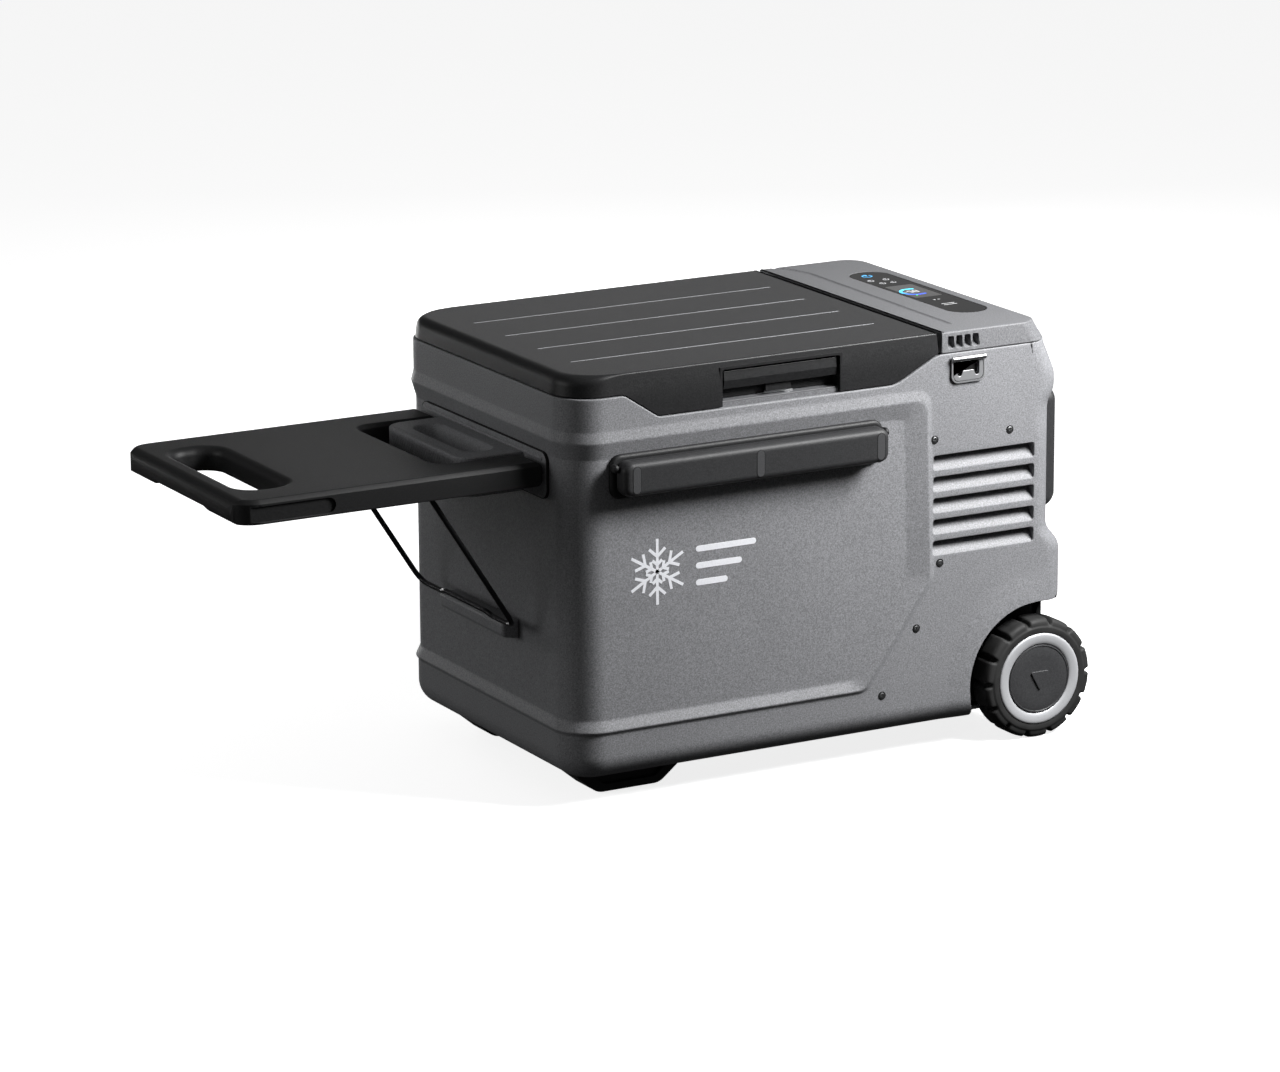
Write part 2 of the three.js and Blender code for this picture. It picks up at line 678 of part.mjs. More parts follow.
piece("compressor", compressor(), MATERIAL.black);
piece("compressor_bracket", compressorBracket(), MATERIAL.steel);
piece("condenser", condenser(), MATERIAL.aluminium);
piece("fan_shroud", fanShroud(), MATERIAL.black);
piece("fan_rotor", fanRotor(), MATERIAL.black);
piece("filter_dryer", turned(600, -60, [[58, 3], [66, 9], [142, 9], [150, 3]], 14), MATERIAL.copper);
piece("control_board", controlBoard(), MATERIAL.board);
piece("battery_bay", batteryBay(), MATERIAL.black);
piece("battery_terminals", block([519 + GAP, 528], [-30, 30], [252, 282]), MATERIAL.copper);
piece("battery_pack", batteryPack(), MATERIAL.handle);

const dischargeRoute = [
  [512, 45, 150.3],
  [512, 45, 168],
  [468, -60, 168],
  [468, -186, 168],
  [468, -186, 189.7],
];
const suctionRoute = [
  [446.3, 80, 300],
  [453.5, 80, 300],
  [453.5, 80, 60],
  [453.5, 60, 50],
  [453.5, 60, 30],
];
piece("discharge_line", bar(dischargeRoute, 3, [12, 12, 12], 28, 6), MATERIAL.copper);
piece("suction_line", bar(suctionRoute, 3, [5, 5, 5], 28, 6), MATERIAL.copper);

function powerInlet() {
  const wall = BODY.half + GAP;
  const plate = prism("y", rectangle([530, 586], [382, 410], 6, 3), [wall, wall + 5]);
  const socket = (x) => prism("y", circle(x, 396, 8, 16), [wall + 1.5, FAR]);
  return cut(plate, socket(544), block([558, 576], [wall + 1.5, FAR], [391, 401]));
}

piece("power_inlet", powerInlet(), MATERIAL.black);

// The five screws that hold the machine cover, on the latch side.
const SCREWS = [[458, 323.6], [557, 323.7], [466, 181.3], [435.6, 109.3], [391, 37.6]];
SCREWS.forEach(([x, z], i) => {
  const head = prism("y", circle(x, z, 5, 12), [-BODY.half - 1.6, -BODY.half - GAP]);
  piece("cover_screw_" + (i + 1), head, MATERIAL.steel);
});

// ------------------------------------------------------------- carry handles

// In the handle's own frame x is along it and -y is away from the body.
function handleGrip() {
  const { half, z, y } = HANDLE;
  const [near, far] = y;
  const bow = prism("y", rectangle([-half, half], z, 10, 4), [-far, -near]);
  const fingers = block([-half + 9, half - 9], [-far + 5, 0], [0, z[1] - 12]);
  const pivot = HANDLE_PIVOT;
  const bore = prism("x", circle(-pivot.y, pivot.z, pivot.radius + GAP, 12), [-FAR, FAR]);
  return cut(bow, fingers, bore);
}

function handleMount() {
  const floor = BODY.half - RECESS.deep + GAP;
  const half = HANDLE.half + 5;
  const [low, high] = HANDLE.z;
  const plate = prism("y", rectangle([-half, half], [low - 6, high + 5], 6, 3), [-floor - 2.5, -floor]);
  const { y, z, radius } = HANDLE_PIVOT;
  const ear = (x) => prism("x", rectangle([-y - 6, -floor - 1], [z - 7, z + 7], 4, 3), [x - 2, x + 2]);
  const bore = prism("x", circle(-y, z, radius + GAP, 12), [-FAR, FAR]);
  return cut(join(plate, ear(-half + 2), ear(half - 2)), bore);
}

function handleRod() {
  const { y, z, radius } = HANDLE_PIVOT;
  const end = HANDLE.half + 5;
  return prism("x", circle(-y, z, radius, 12), [-end, end]);
}

[["front", 0], ["back", Math.PI]].forEach(([side, turn]) => {
  const set = new THREE.Group();
  set.position.x = HANDLE.x;
  set.rotation.z = turn;
  body.add(set);
  piece("handle_mount_" + side, handleMount(), MATERIAL.black, set);
  piece("handle_" + side, handleGrip(), MATERIAL.handle, set);
  piece("handle_rod_" + side, handleRod(), MATERIAL.steel, set);
});

// --------------------------------------------------------------- folding table

function towBoss() {
  const { x, half, z } = BOSS;
  const wall = BODY.left + RECESS.deep - 3 - GAP;
  const corners = [[x, -half, 24], [wall, -half], [wall, half], [x, half, 24]];
  const side = rounded([[x, z[0], 10], [wall + 1, z[0]], [wall + 1, z[1]], [x, z[1], 6]], 4);
  const fingers = prism("z", rectangle([x + 20, -24], [-half + 25, half - 25], 15, 6), [z[0] + 22, FAR]);
  const { x: px, z: pz, radius } = TABLE_PIVOT;
  const bore = (from, to) => prism("y", circle(px, pz, radius + GAP, 16), [from, to]);
  return cut(
    prism("z", rounded(corners, 6), z).intersect(prism("y", side, [-FAR, FAR])),
    fingers,
    bore(-FAR, -half + 12),
    bore(half - 12, FAR),
  );
}

function towPlate() {
  const face = BODY.left + RECESS.deep - GAP;
  return prism("x", rectangle([-149, 149], [302, 353], 11, 4), [face - 2.7, face]);
}

function tableTop() {
  const { out, in: end, half, bottom, top, skin, rim } = TABLE;
  const { x: throat, half: throatHalf, corner } = TABLE_NOTCH;
  const deck = rounded(
    [
      [out, -half, 30],
      [end, -half, 4],
      [end, -throatHalf, 4],
      [throat, -throatHalf, corner],
      [throat, throatHalf, corner],
      [end, throatHalf, 4],
      [end, half, 4],
      [out, half, 30],
    ],
    5,
  );
  const side = rounded([[out, bottom, 8], [end, bottom, 10], [end, top, 10], [out, top, 13]], 4);
  const grip = TABLE_GRIP;
  const hole = (grow) => {
    const reach = grip.half + grow;
    return rectangle([grip.x[0] - grow, grip.x[1] + grow], [-reach, reach], grip.corner + grow);
  };
  const under = [0, top - skin];
  const hollow = cut(
    prism("z", rectangle([out + 7, throat - rim], [-half + rim, half - rim], 24), under),
    prism("z", hole(5), [0, FAR]),
  );
  const relief = block([out - 1, out + 18], [-TABLE_GRIP.half + 18, TABLE_GRIP.half - 18], [0, bottom + 8]);
  const [rx, rz] = ROD.pivot;
  const lug = (from, to) => block([rx - 8, rx + 8], [from, to], [bottom + 1, top - skin + 1]);
  const bore = (x, z, radius, limits) => prism("y", circle(x, z, radius, 16), limits);
  const rodEnd = ROD.half + 17;
  const { x: px, z: pz, radius, head } = TABLE_PIVOT;
  const shell = cut(
    prism("z", deck, [bottom, top]).intersect(prism("y", side, [-FAR, FAR])),
    prism("z", hole(0), [0, FAR]),
    hollow,
    relief,
  );
  return cut(
    join(shell, lug(ROD.half + 6, half - rim + 1), lug(-half + rim - 1, -ROD.half - 6)),
    bore(rx, rz, ROD.radius + GAP, [-rodEnd, rodEnd]),
    bore(px, pz, radius + GAP, [-FAR, FAR]),
    bore(px, pz, head + GAP, [-FAR, -half + 2]),
    bore(px, pz, head + GAP, [half - 2, FAR]),
  );
}

function tablePivot(turn) {
  const { x, z, radius, head } = TABLE_PIVOT;
  const { half } = TABLE;
  const pin = join(
    prism("y", circle(0, 0, radius, 16), [-half + 1, -BOSS.half + 11]),
    prism("y", circle(0, 0, head, 16), [-half + 0.2, -half + 2 - GAP]),
  );
  const group = new THREE.Group();
  group.position.set(x, 0, z);
  group.rotation.z = turn;
  body.add(group);
  return [pin, group];
}

function supportRod() {
  const { pivot: [px, pz], rest: [x, z], half, radius, bend } = ROD;
  const end = half + 15;
  const length = Math.hypot(px - x, pz - z);
  const step = JOG.rise / length;
  const raised = [x + (px - x) * step, z + (pz - z) * step];
  const leg = [
    [px, -end, pz],
    [px, -half, pz],
    [x, -half, z],
    [x, -JOG.from, z],
    [raised[0], -JOG.to, raised[1]],
  ];
  const route = [...leg, ...leg.map(([u, v, w]) => [u, -v, w]).reverse()];
  return bar(route, radius, [5, bend, 4, 4, 4, 4, bend, 5], 72);
}

function rodRest() {
  const wall = BODY.left + RECESS.deep - GAP;
  const { x, half, z: [low, high] } = LEDGE;
  const section = rounded([[x, low, 4], [wall, low - 6], [wall, high], [x, high, 3]], 3);
  return prism("y", section, [-half, half]);
}

piece("tow_plate", towPlate(), MATERIAL.shell);
piece("tow_boss", towBoss(), MATERIAL.panel);
piece("rod_rest", rodRest(), MATERIAL.shell);
piece("table_top", tableTop(), MATERIAL.black);
piece("support_rod", supportRod(), MATERIAL.blackSteel);
[["front", 0], ["back", Math.PI]].forEach(([side, turn]) => {
  const [pin, group] = tablePivot(turn);
  piece("table_pivot_" + side, pin, MATERIAL.steel, group);
});

// --------------------------------------------------------------------- wheels

function tyre() {
  const { tyre: outer, rim, lugs, outer: face, inner } = WHEEL;
  const step = (2 * Math.PI) / lugs;
  const tread = Array.from({ length: lugs }, (_, k) => {
    const middle = k * step - Math.PI / 2;
    const at = (radius, share) => {
      const angle = middle + share * step;
      return new THREE.Vector2(radius * Math.cos(angle), radius * Math.sin(angle));
    };
    return [at(outer - 4, -0.42), at(outer, -0.34), at(outer, 0), at(outer, 0.34), at(outer - 4, 0.42)];
  });
  const bore = prism("y", circle(0, 0, rim + GAP, 32), [-FAR, FAR]);
  return cut(prism("y", tread.flat(), [-face, -inner]), bore);
}

function rim() {
  const { rim: radius, outer, inner } = WHEEL;
  const disc = prism("y", circle(0, 0, radius, 32), [-outer + 2, -inner - 2]);
  const dish = prism("y", circle(0, 0, radius - 6, 32), [-inner - 14, FAR]);
  const hub = prism("y", circle(0, 0, 16, 16), [-inner - 20, -inner + 4]);
  return cut(join(cut(disc, dish), hub), prism("y", circle(0, 0, AXLE + 2 * GAP, 16), [-FAR, FAR]));
}

function hubCap() {
  const { cap, outer } = WHEEL;
  return prism("y", circle(0, 0, cap, 32), [-outer - 1, -outer + 2 - GAP]);
}

[["front", 0], ["back", Math.PI]].forEach(([side, turn]) => {
  const wheel = new THREE.Group();
  wheel.position.set(WHEEL.x, 0, WHEEL.z);
  wheel.rotation.z = turn;
  body.add(wheel);
  piece("tyre_" + side, tyre(), MATERIAL.tyre, wheel);
  piece("rim_" + side, rim(), MATERIAL.silver, wheel);
  piece("hub_cap_" + side, hubCap(), MATERIAL.handle, wheel);
});

function axle() {
  const end = WHEEL.outer - 6;
  return prism("y", circle(WHEEL.x, WHEEL.z, AXLE, 16), [-end, end]);
}

piece("axle", axle(), MATERIAL.steel);

export default origin;
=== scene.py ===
"""The looks of a wheeled compressor cooler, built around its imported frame.

Shapes are made in the chest's own frame, in millimetres: x runs from the lid's
table end towards the wheels, y from the middle plane (the latch side is -y)
and z up from the chest's underside. TO_ROW takes them to the frame's metres.
"""

import math

import bmesh
import bpy
import numpy as np
from mathutils import Matrix, Vector


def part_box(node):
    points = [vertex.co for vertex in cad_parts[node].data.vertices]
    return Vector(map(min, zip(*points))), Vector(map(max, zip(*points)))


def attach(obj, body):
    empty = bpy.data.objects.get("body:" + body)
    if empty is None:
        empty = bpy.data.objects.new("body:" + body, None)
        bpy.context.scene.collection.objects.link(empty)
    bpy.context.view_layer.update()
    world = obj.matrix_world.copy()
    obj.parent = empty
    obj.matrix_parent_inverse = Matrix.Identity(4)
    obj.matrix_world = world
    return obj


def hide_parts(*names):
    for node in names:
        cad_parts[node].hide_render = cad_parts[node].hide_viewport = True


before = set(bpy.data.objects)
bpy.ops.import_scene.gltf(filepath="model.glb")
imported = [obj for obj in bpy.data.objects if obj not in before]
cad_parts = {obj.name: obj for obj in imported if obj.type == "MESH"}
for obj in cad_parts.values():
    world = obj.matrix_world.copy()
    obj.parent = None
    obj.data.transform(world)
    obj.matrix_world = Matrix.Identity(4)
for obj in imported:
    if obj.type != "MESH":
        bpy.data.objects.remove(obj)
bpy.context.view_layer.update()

# ------------------------------------------------------------------ dimensions

MM = 0.001
FAR = 800
LEFT = -1  # the chest's table end
RIDGE_OUT = 3  # how far the ridge round the recess stands out
SHELL_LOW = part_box("outer_shell")[0]
BOTTOM = -9  # the chest's underside
ORIGIN = Vector((SHELL_LOW.x - (LEFT - RIDGE_OUT) * MM, 0, SHELL_LOW.z - BOTTOM * MM))
TO_ROW = Matrix.Translation(ORIGIN) @ Matrix.Scale(MM, 4)


def limits(node):
    """A CAD node's limits on x, y and z, in the chest's frame."""
    low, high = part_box(node)
    return [((low[i] - ORIGIN[i]) / MM, (high[i] - ORIGIN[i]) / MM) for i in range(3)]


LID_X, LID_Y, LID_Z = limits("lid_shell")
GLASS_X, GLASS_Y, GLASS_Z = limits("display_glass")
OPENER_X, OPENER_Y, OPENER_Z = limits("bottle_opener")
TABLE_X, TABLE_Y, TABLE_Z = limits("table_top")
BOSS_X, BOSS_Y, BOSS_Z = limits("tow_boss")
LEDGE_X, LEDGE_Y, LEDGE_Z = limits("rod_rest")
PLATE_X, PLATE_Y, PLATE_Z = limits("tow_plate")
GRIP_X, GRIP_Y, GRIP_Z = limits("handle_front")
MOUNT_X, MOUNT_Y, MOUNT_Z = limits("handle_mount_front")
TYRE_X, TYRE_Y, TYRE_Z = limits("tyre_front")
CAP_X, CAP_Y, CAP_Z = limits("hub_cap_front")
LEVER_X, LEVER_Y, LEVER_Z = limits("latch_lever")
BATTERY_X, BATTERY_Y, BATTERY_Z = limits("battery_pack")
LINER_X, LINER_Y, LINER_Z = limits("inner_liner")
FOOT_X, FOOT_Y, FOOT_Z = limits("foot_bar")

HALF = 203  # half the chest's width
RIM = 420  # top of the chest
TOP = GLASS_Z[1]  # top of the lid and the panel
GLASS_TOP = TOP - 0.3  # the display sits a little deep, so its marks stay inside the CAD box
GRIP_FACE = GRIP_Y[0] + 0.3  # as do the inlays in the handle
TABLE_CORNER = 42
LID_CORNER = 46
MACHINE_CORNER = 30
BOTTOM_RADIUS = 28
WALL = 6
FLOOR = BOTTOM + 4
RIM_EDGE = 1.5
MACHINE_END = [(103, 620), (115, 638), (182, 638), (202, 620), (347, 620), (362, 629), (381, 629), (RIM, 612)]

# The side recess: its floor's edge, the crest of its ridge and the ridge's foot.
RECESS_DEEP = 2.5
RECESS = {"bottom": 60, "top": 352, "right": 420, "foot": 352, "knee": (424, 172), "corner": 10}
CREST = {"bottom": 48, "top": 371, "right": 446, "foot": 366, "knee": (452, 166), "corner": 14}
RIDGE = {"bottom": 44, "top": 383, "right": 453, "foot": 371, "knee": (459, 163), "corner": 18}

DIP = 391.8  # the chest's rim below the latch
DIP_X = (66, 108, 408, 462)
SKIRT_GAP = 1.2
LID_INSET = 1.1
PANEL_LEFT = LID_X[1] + 1.2
PANEL_CORNER = 28

VENT_X = (457, 590)
VENT_Z = [(288.7 - 24.5 * k, 305 - 24.5 * k) for k in range(5)]
WHEEL = Vector(((TYRE_X[0] + TYRE_X[1]) / 2, 0, (TYRE_Z[0] + TYRE_Z[1]) / 2))
BATTERY_FACE = 620.5
WELL_RADIUS = 88
WELL_INNER = 166
HANDLE_MIDDLE = (MOUNT_X[0] + MOUNT_X[1]) / 2
SLOT_X = [475.3 + 10.8 * k for k in range(4)]  # the small slots in the panel's front
SLOT_WIDE = 8
LATCH_X = (188, 336)
LID_LINES_Y = (107.8, 31.3, -45.1, -121.6)
TABLE_HOLE_X = (-338, -281)
STRUT_PIVOT = (-138.4, 333.4)
STRUT_REST = (-24, 154)

# ------------------------------------------------------------------- outlines


def rounded(corners, steps=8):
    """Corners (u, v, radius), anticlockwise, each rounded by an arc."""
    points = []
    for i, (u, v, radius) in enumerate(corners):
        here = Vector((u, v))
        if not radius:
            points.append(here)
            continue
        back = (Vector(corners[i - 1][:2]) - here).normalized()
        ahead = (Vector(corners[(i + 1) % len(corners)][:2]) - here).normalized()
        half = math.acos(max(-1, min(1, back.dot(ahead)))) / 2
        centre = here + (back + ahead).normalized() * radius / math.sin(half)
        reach = radius / math.tan(half)
        start = here + back * reach - centre
        end = here + ahead * reach - centre
        first = math.atan2(start.y, start.x)
        turn = (math.atan2(end.y, end.x) - first + math.pi) % (2 * math.pi) - math.pi
        for k in range(steps + 1):
            angle = first + turn * k / steps
            points.append(centre + radius * Vector((math.cos(angle), math.sin(angle))))
    return points


def rectangle(u, v, radius, steps=8):
    corners = [(u[0], v[0]), (u[1], v[0]), (u[1], v[1]), (u[0], v[1])]
    return rounded([(*corner, radius) for corner in corners], steps)


def circle(u, v, radius, sides=64):
    turns = [2 * math.pi * k / sides for k in range(sides)]
    return [Vector((u + radius * math.cos(a), v + radius * math.sin(a))) for a in turns]


def grow(points, distance):
    """The outline moved outwards, point by point."""
    grown = []
    for i, here in enumerate(points):
        into = (here - points[i - 1]).normalized()
        out = (points[(i + 1) % len(points)] - here).normalized()
        normal = Vector((into.y + out.y, -into.x - out.x)).normalized()
        share = max(normal.dot(Vector((out.y, -out.x))), 0.3)
        grown.append(here + normal * distance / share)
    return grown


def rim_levels(span, edges, steps=6):
    """Levels (inset, place) that round both ends of a slab."""
    (low, high), (first, last) = span, edges
    arc = [math.pi / 2 * k / steps for k in range(steps + 1)]
    flat = 0.4
    start = [(first * (1 - math.sin(a)), low + first * (1 - math.cos(a))) for a in arc]
    end = [(last * (1 - math.sin(a)), high - last * (1 - math.cos(a))) for a in reversed(arc)]
    start = [(first + flat, low), *start] if first else [(0, low)]
    end = [*end, (last + flat, high)] if last else [(0, high)]
    return start + end


def hole_levels(span, flares, steps=6, over=6):
    """Levels that cut a hole, rounding its rims. A flare of None is a blind end."""
    (low, high), (first, last) = span, flares
    arc = [math.pi / 2 * k / steps for k in range(steps + 1)]
    levels = [(0, low)]
    if first is not None:
        rim = [(-first * (1 - math.cos(a)), low + first * (1 - math.sin(a))) for a in reversed(arc)]
        levels = [(-first, low - over), *rim]
    if last is None:
        return [*levels, (0, high)]
    rim = [(-last * (1 - math.cos(a)), high - last * (1 - math.sin(a))) for a in arc]
    return [*levels, *rim, (-last, high + over)]


# --------------------------------------------------------------------- solids


def at(axis, u, v, w):
    """A point of an outline that is pushed along an axis by w."""
    return {"x": (w, u, v), "y": (u, w, v), "z": (u, v, w)}[axis]


def solid(points, faces):
    mesh = bpy.data.meshes.new("solid")
    mesh.from_pydata([tuple(p) for p in points], [], faces)
    made = bmesh.new()
    made.from_mesh(mesh)
    bmesh.ops.remove_doubles(made, verts=made.verts, dist=1e-4)
    bmesh.ops.recalc_face_normals(made, faces=made.faces)
    made.to_mesh(mesh)
    made.free()
    obj = bpy.data.objects.new("solid", mesh)
    bpy.context.scene.collection.objects.link(obj)
    return obj


def loft(rings, closed=False):
    """A skin through rings of as many points each, capped or closed on itself."""
    count = len(rings[0])
    faces = []
    for k in range(len(rings) if closed else len(rings) - 1):
        a = k * count
        b = (k + 1) % len(rings) * count
        for i in range(count):
            j = (i + 1) % count
            faces.append((a + i, a + j, b + j, b + i))
    if not closed:
        last = (len(rings) - 1) * count
        faces.append(tuple(reversed(range(count))))
        faces.append(tuple(range(last, last + count)))
    return solid([p for ring in rings for p in ring], faces)


def stack(axis, points, levels):
    """An outline pushed along an axis, set in at each level as it says."""
    return loft([[at(axis, p.x, p.y, w) for p in grow(points, -inset)] for inset, w in levels])


def slab(axis, points, span, edges=(1, 1), steps=6):
    return stack(axis, points, rim_levels(span, edges, steps))


def drill(axis, points, span, flares, steps=6):
    return stack(axis, points, hole_levels(span, flares, steps))


def block(x, y, z):
    corners = [Vector((x[0], y[0])), Vector((x[1], y[0])), Vector((x[1], y[1])), Vector((x[0], y[1]))]
    return stack("z", corners, [(0, z[0]), (0, z[1])])


def turned(axis, centre, profile, sides=96, closed=False, shape=None):
    """A profile of (place, radius) turned about an axis. shape may change each (turn, place, radius)."""
    rings = []
    for place, radius in profile:
        ring = []
        for k in range(sides):
            angle = 2 * math.pi * k / sides
            w, r = shape(angle, place, radius) if shape else (place, radius)
            ring.append(at(axis, centre[0] + r * math.cos(angle), centre[1] + r * math.sin(angle), w))
        rings.append(ring)
    return loft(rings, closed)


def bent(points, bends, steps=8):
    """Straight runs between points, each inner corner rounded by a parabola."""
    spots = [Vector(p) for p in points]
    path = [spots[0]]
    for before, corner, after, bend in zip(spots, spots[1:], spots[2:], bends):
        start = corner + (before - corner).normalized() * bend
        end = corner + (after - corner).normalized() * bend
        for k in range(steps + 1):
            t = k / steps
            path.append(start * (1 - t) ** 2 + corner * 2 * t * (1 - t) + end * t**2)
    return [*path, spots[-1]]


def tube(path, radius, sides=16):
    """A round bar along a path, its section carried along without twisting."""
    side = (path[1] - path[0]).orthogonal().normalized()
    rings = []
    for i, here in enumerate(path):
        ahead = (path[min(i + 1, len(path) - 1)] - path[max(i - 1, 0)]).normalized()
        side = (side - ahead * side.dot(ahead)).normalized()
        other = ahead.cross(side)
        turns = [2 * math.pi * k / sides for k in range(sides)]
        rings.append([here + radius * (math.cos(a) * side + math.sin(a) * other) for a in turns])
    return loft(rings)


def bar(start, end, radius, sides=16):
    return tube([Vector(start), Vector(end)], radius, sides)


def combine(base, operation, *tools):
    for tool in tools:
        change = base.modifiers.new("change", "BOOLEAN")
        change.operation = operation
        change.solver = "MANIFOLD"
        change.object = tool
        graph = bpy.context.evaluated_depsgraph_get()
        mesh = bpy.data.meshes.new_from_object(base.evaluated_get(graph))
        base.modifiers.clear()
        base.data = mesh
        bpy.data.objects.remove(tool)
    return base


def cut(base, *tools):
    return combine(base, "DIFFERENCE", *tools)


def join(base, *tools):
    return combine(base, "UNION", *tools)


def overlap(base, *tools):
    return combine(base, "INTERSECT", *tools)


def group(*solids):
    """Several separate solids as one object."""
    joined = bmesh.new()
    for obj in solids:
        joined.from_mesh(obj.data)
        bpy.data.objects.remove(obj)
    mesh = bpy.data.meshes.new("group")
    joined.to_mesh(mesh)
    joined.free()
    obj = bpy.data.objects.new("group", mesh)
    bpy.context.scene.collection.objects.link(obj)
    return obj


def half_turn(obj, x):
    """Turned by half a turn about the upright line at x in the middle plane."""
    spin = Matrix.Translation((x, 0, 0)) @ Matrix.Rotation(math.pi, 4, "Z") @ Matrix.Translation((-x, 0, 0))
    obj.data.transform(spin)
    return obj


def mirrored(obj):
    obj.data.transform(Matrix.Scale(-1, 4, (0, 1, 0)))
    obj.data.flip_normals()
    return obj


def shade(obj, angle):
    obj.data.shade_smooth()
    obj.data.set_sharp_from_angle(angle=math.radians(angle))
    even = obj.modifiers.new("even_normals", "WEIGHTED_NORMAL")
    even.keep_sharp = True


def piece(name, obj, material, body, replaces=(), angle=40):
    """Names a solid, takes it to the frame and gives it its finish and its body."""
    obj.name = name
    obj.data.name = name
    obj.data.transform(TO_ROW)
    obj.data.materials.clear()
    obj.data.materials.append(material)
    shade(obj, angle)
    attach(obj, body)
    if replaces:
        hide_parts(*replaces)
    return obj


# ------------------------------------------------------------------ materials

PLASTIC_TINT = (0.975, 0.985, 1.03)

def blank(name):
    material = bpy.data.materials.new(name)
    material.use_nodes = True
    nodes = material.node_tree.nodes
    return material, nodes, material.node_tree.links, nodes["Principled BSDF"]


def noise(nodes, links, scale, detail, rough=0.6):
    where = nodes.new("ShaderNodeTexCoord")
    made = nodes.new("ShaderNodeTexNoise")
    made.inputs["Scale"].default_value = scale
    made.inputs["Detail"].default_value = detail
    made.inputs["Roughness"].default_value = rough
    links.new(where.outputs["Object"], made.inputs["Vector"])
    return made.outputs["Fac"]


def ramp(nodes, links, value, stops):
    made = nodes.new("ShaderNodeValToRGB")
    colours = made.color_ramp
    while len(colours.elements) < len(stops):
        colours.elements.new(0.5)
    for element, (place, colour) in zip(colours.elements, stops):
        element.position = place
        element.color = (*colour, 1)
    links.new(value, made.inputs["Fac"])
    return made.outputs["Color"]


def spread(nodes, links, value, low, high):
    made = nodes.new("ShaderNodeMapRange")
    made.inputs["From Min"].default_value = 0.3
    made.inputs["From Max"].default_value = 0.7
    made.inputs["To Min"].default_value = low
    made.inputs["To Max"].default_value = high
    links.new(value, made.inputs["Value"])
    return made.outputs["Result"]


def bumps(nodes, links, value, strength, depth, shader):
    made = nodes.new("ShaderNodeBump")
    made.inputs["Strength"].default_value = strength
    made.inputs["Distance"].default_value = depth
    links.new(value, made.inputs["Height"])
    links.new(made.outputs["Normal"], shader.inputs["Normal"])


def paint(nodes, links, value, stops, shader):
    links.new(ramp(nodes, links, value, stops), shader.inputs["Base Color"])


def moulded(name, grey, roughness, speckle=0.34, grain=620, depth=0.0004):
    """Spark-eroded plastic: a fine grain that shows as speckle, and broad slight shifts of tone."""
    material, nodes, links, shader = blank(name)
    fine = noise(nodes, links, grain, 3, 0.7)
    broad = noise(nodes, links, 9, 2)
    greys = [(0.34, (1 - speckle) * grey), (0.52, grey), (0.68, (1 + speckle) * grey)]
    stops = [(place, [value * share for share in PLASTIC_TINT]) for place, value in greys]
    colour = ramp(nodes, links, fine, stops)
    tone = ramp(nodes, links, broad, [(0.3, (0.94, 0.94, 0.94)), (0.7, (1, 1, 1))])
    mix = nodes.new("ShaderNodeMix")
    mix.data_type = "RGBA"
    mix.blend_type = "MULTIPLY"
    mix.inputs["Factor"].default_value = 1
    links.new(colour, mix.inputs[6])
    links.new(tone, mix.inputs[7])
    links.new(mix.outputs[2], shader.inputs["Base Color"])
    links.new(spread(nodes, links, fine, roughness - 0.05, roughness + 0.08), shader.inputs["Roughness"])
    shader.inputs["Specular IOR Level"].default_value = 0.35
    bumps(nodes, links, fine, 0.35, depth, shader)
    return material


def metal(name, colour, roughness, metallic=1.0):
    """Bare or painted metal with fine scuffs."""
    material, nodes, links, shader = blank(name)
    scuffs = noise(nodes, links, 1400, 4, 0.7)
    low = [c * 0.88 for c in colour]
    paint(nodes, links, scuffs, [(0.35, low), (0.6, colour)], shader)
    shader.inputs["Metallic"].default_value = metallic
    links.new(spread(nodes, links, scuffs, roughness - 0.05, roughness + 0.1), shader.inputs["Roughness"])
    bumps(nodes, links, scuffs, 0.1, 0.0001, shader)
    return material


def rubber(name, grey):
    material, nodes, links, shader = blank(name)
    fine = noise(nodes, links, 1500, 4, 0.7)
    dusty = noise(nodes, links, 60, 4)
    paint(nodes, links, dusty, [(0.35, (grey,) * 3), (0.75, (grey * 1.6,) * 3)], shader)
    links.new(spread(nodes, links, dusty, 0.62, 0.8), shader.inputs["Roughness"])
    bumps(nodes, links, fine, 0.25, 0.0002, shader)
    return material


def foam(name):
    material, nodes, links, shader = blank(name)
    cells = nodes.new("ShaderNodeTexVoronoi")
    cells.inputs["Scale"].default_value = 700
    where = nodes.new("ShaderNodeTexCoord")
    links.new(where.outputs["Object"], cells.inputs["Vector"])
    near = cells.outputs["Distance"]
    paint(nodes, links, near, [(0, (0.5, 0.42, 0.2)), (0.6, (0.78, 0.7, 0.42))], shader)
    shader.inputs["Roughness"].default_value = 0.9
    bumps(nodes, links, near, 0.5, 0.0008, shader)
    return material


def glossy(name, grey):
    """Black cover glass."""
    material, nodes, links, shader = blank(name)
    haze = noise(nodes, links, 25, 2)
    paint(nodes, links, haze, [(0.2, (grey,) * 3), (0.8, (grey * 1.5,) * 3)], shader)
    links.new(spread(nodes, links, haze, 0.06, 0.12), shader.inputs["Roughness"])
    shader.inputs["Specular IOR Level"].default_value = 0.01
    return material


def lit(name, start, end, strength):
    """A lit mark on the display, shading from one colour to another across it."""
    material, nodes, links, shader = blank(name)
    where = nodes.new("ShaderNodeTexCoord")
    apart = nodes.new("ShaderNodeSeparateXYZ")
    links.new(where.outputs["Generated"], apart.inputs["Vector"])
    colour = ramp(nodes, links, apart.outputs["Y"], [(0.1, start), (0.9, end)])
    links.new(colour, shader.inputs["Base Color"])
    links.new(colour, shader.inputs["Emission Color"])
    shader.inputs["Emission Strength"].default_value = strength
    shader.inputs["Roughness"].default_value = 0.3
    return material


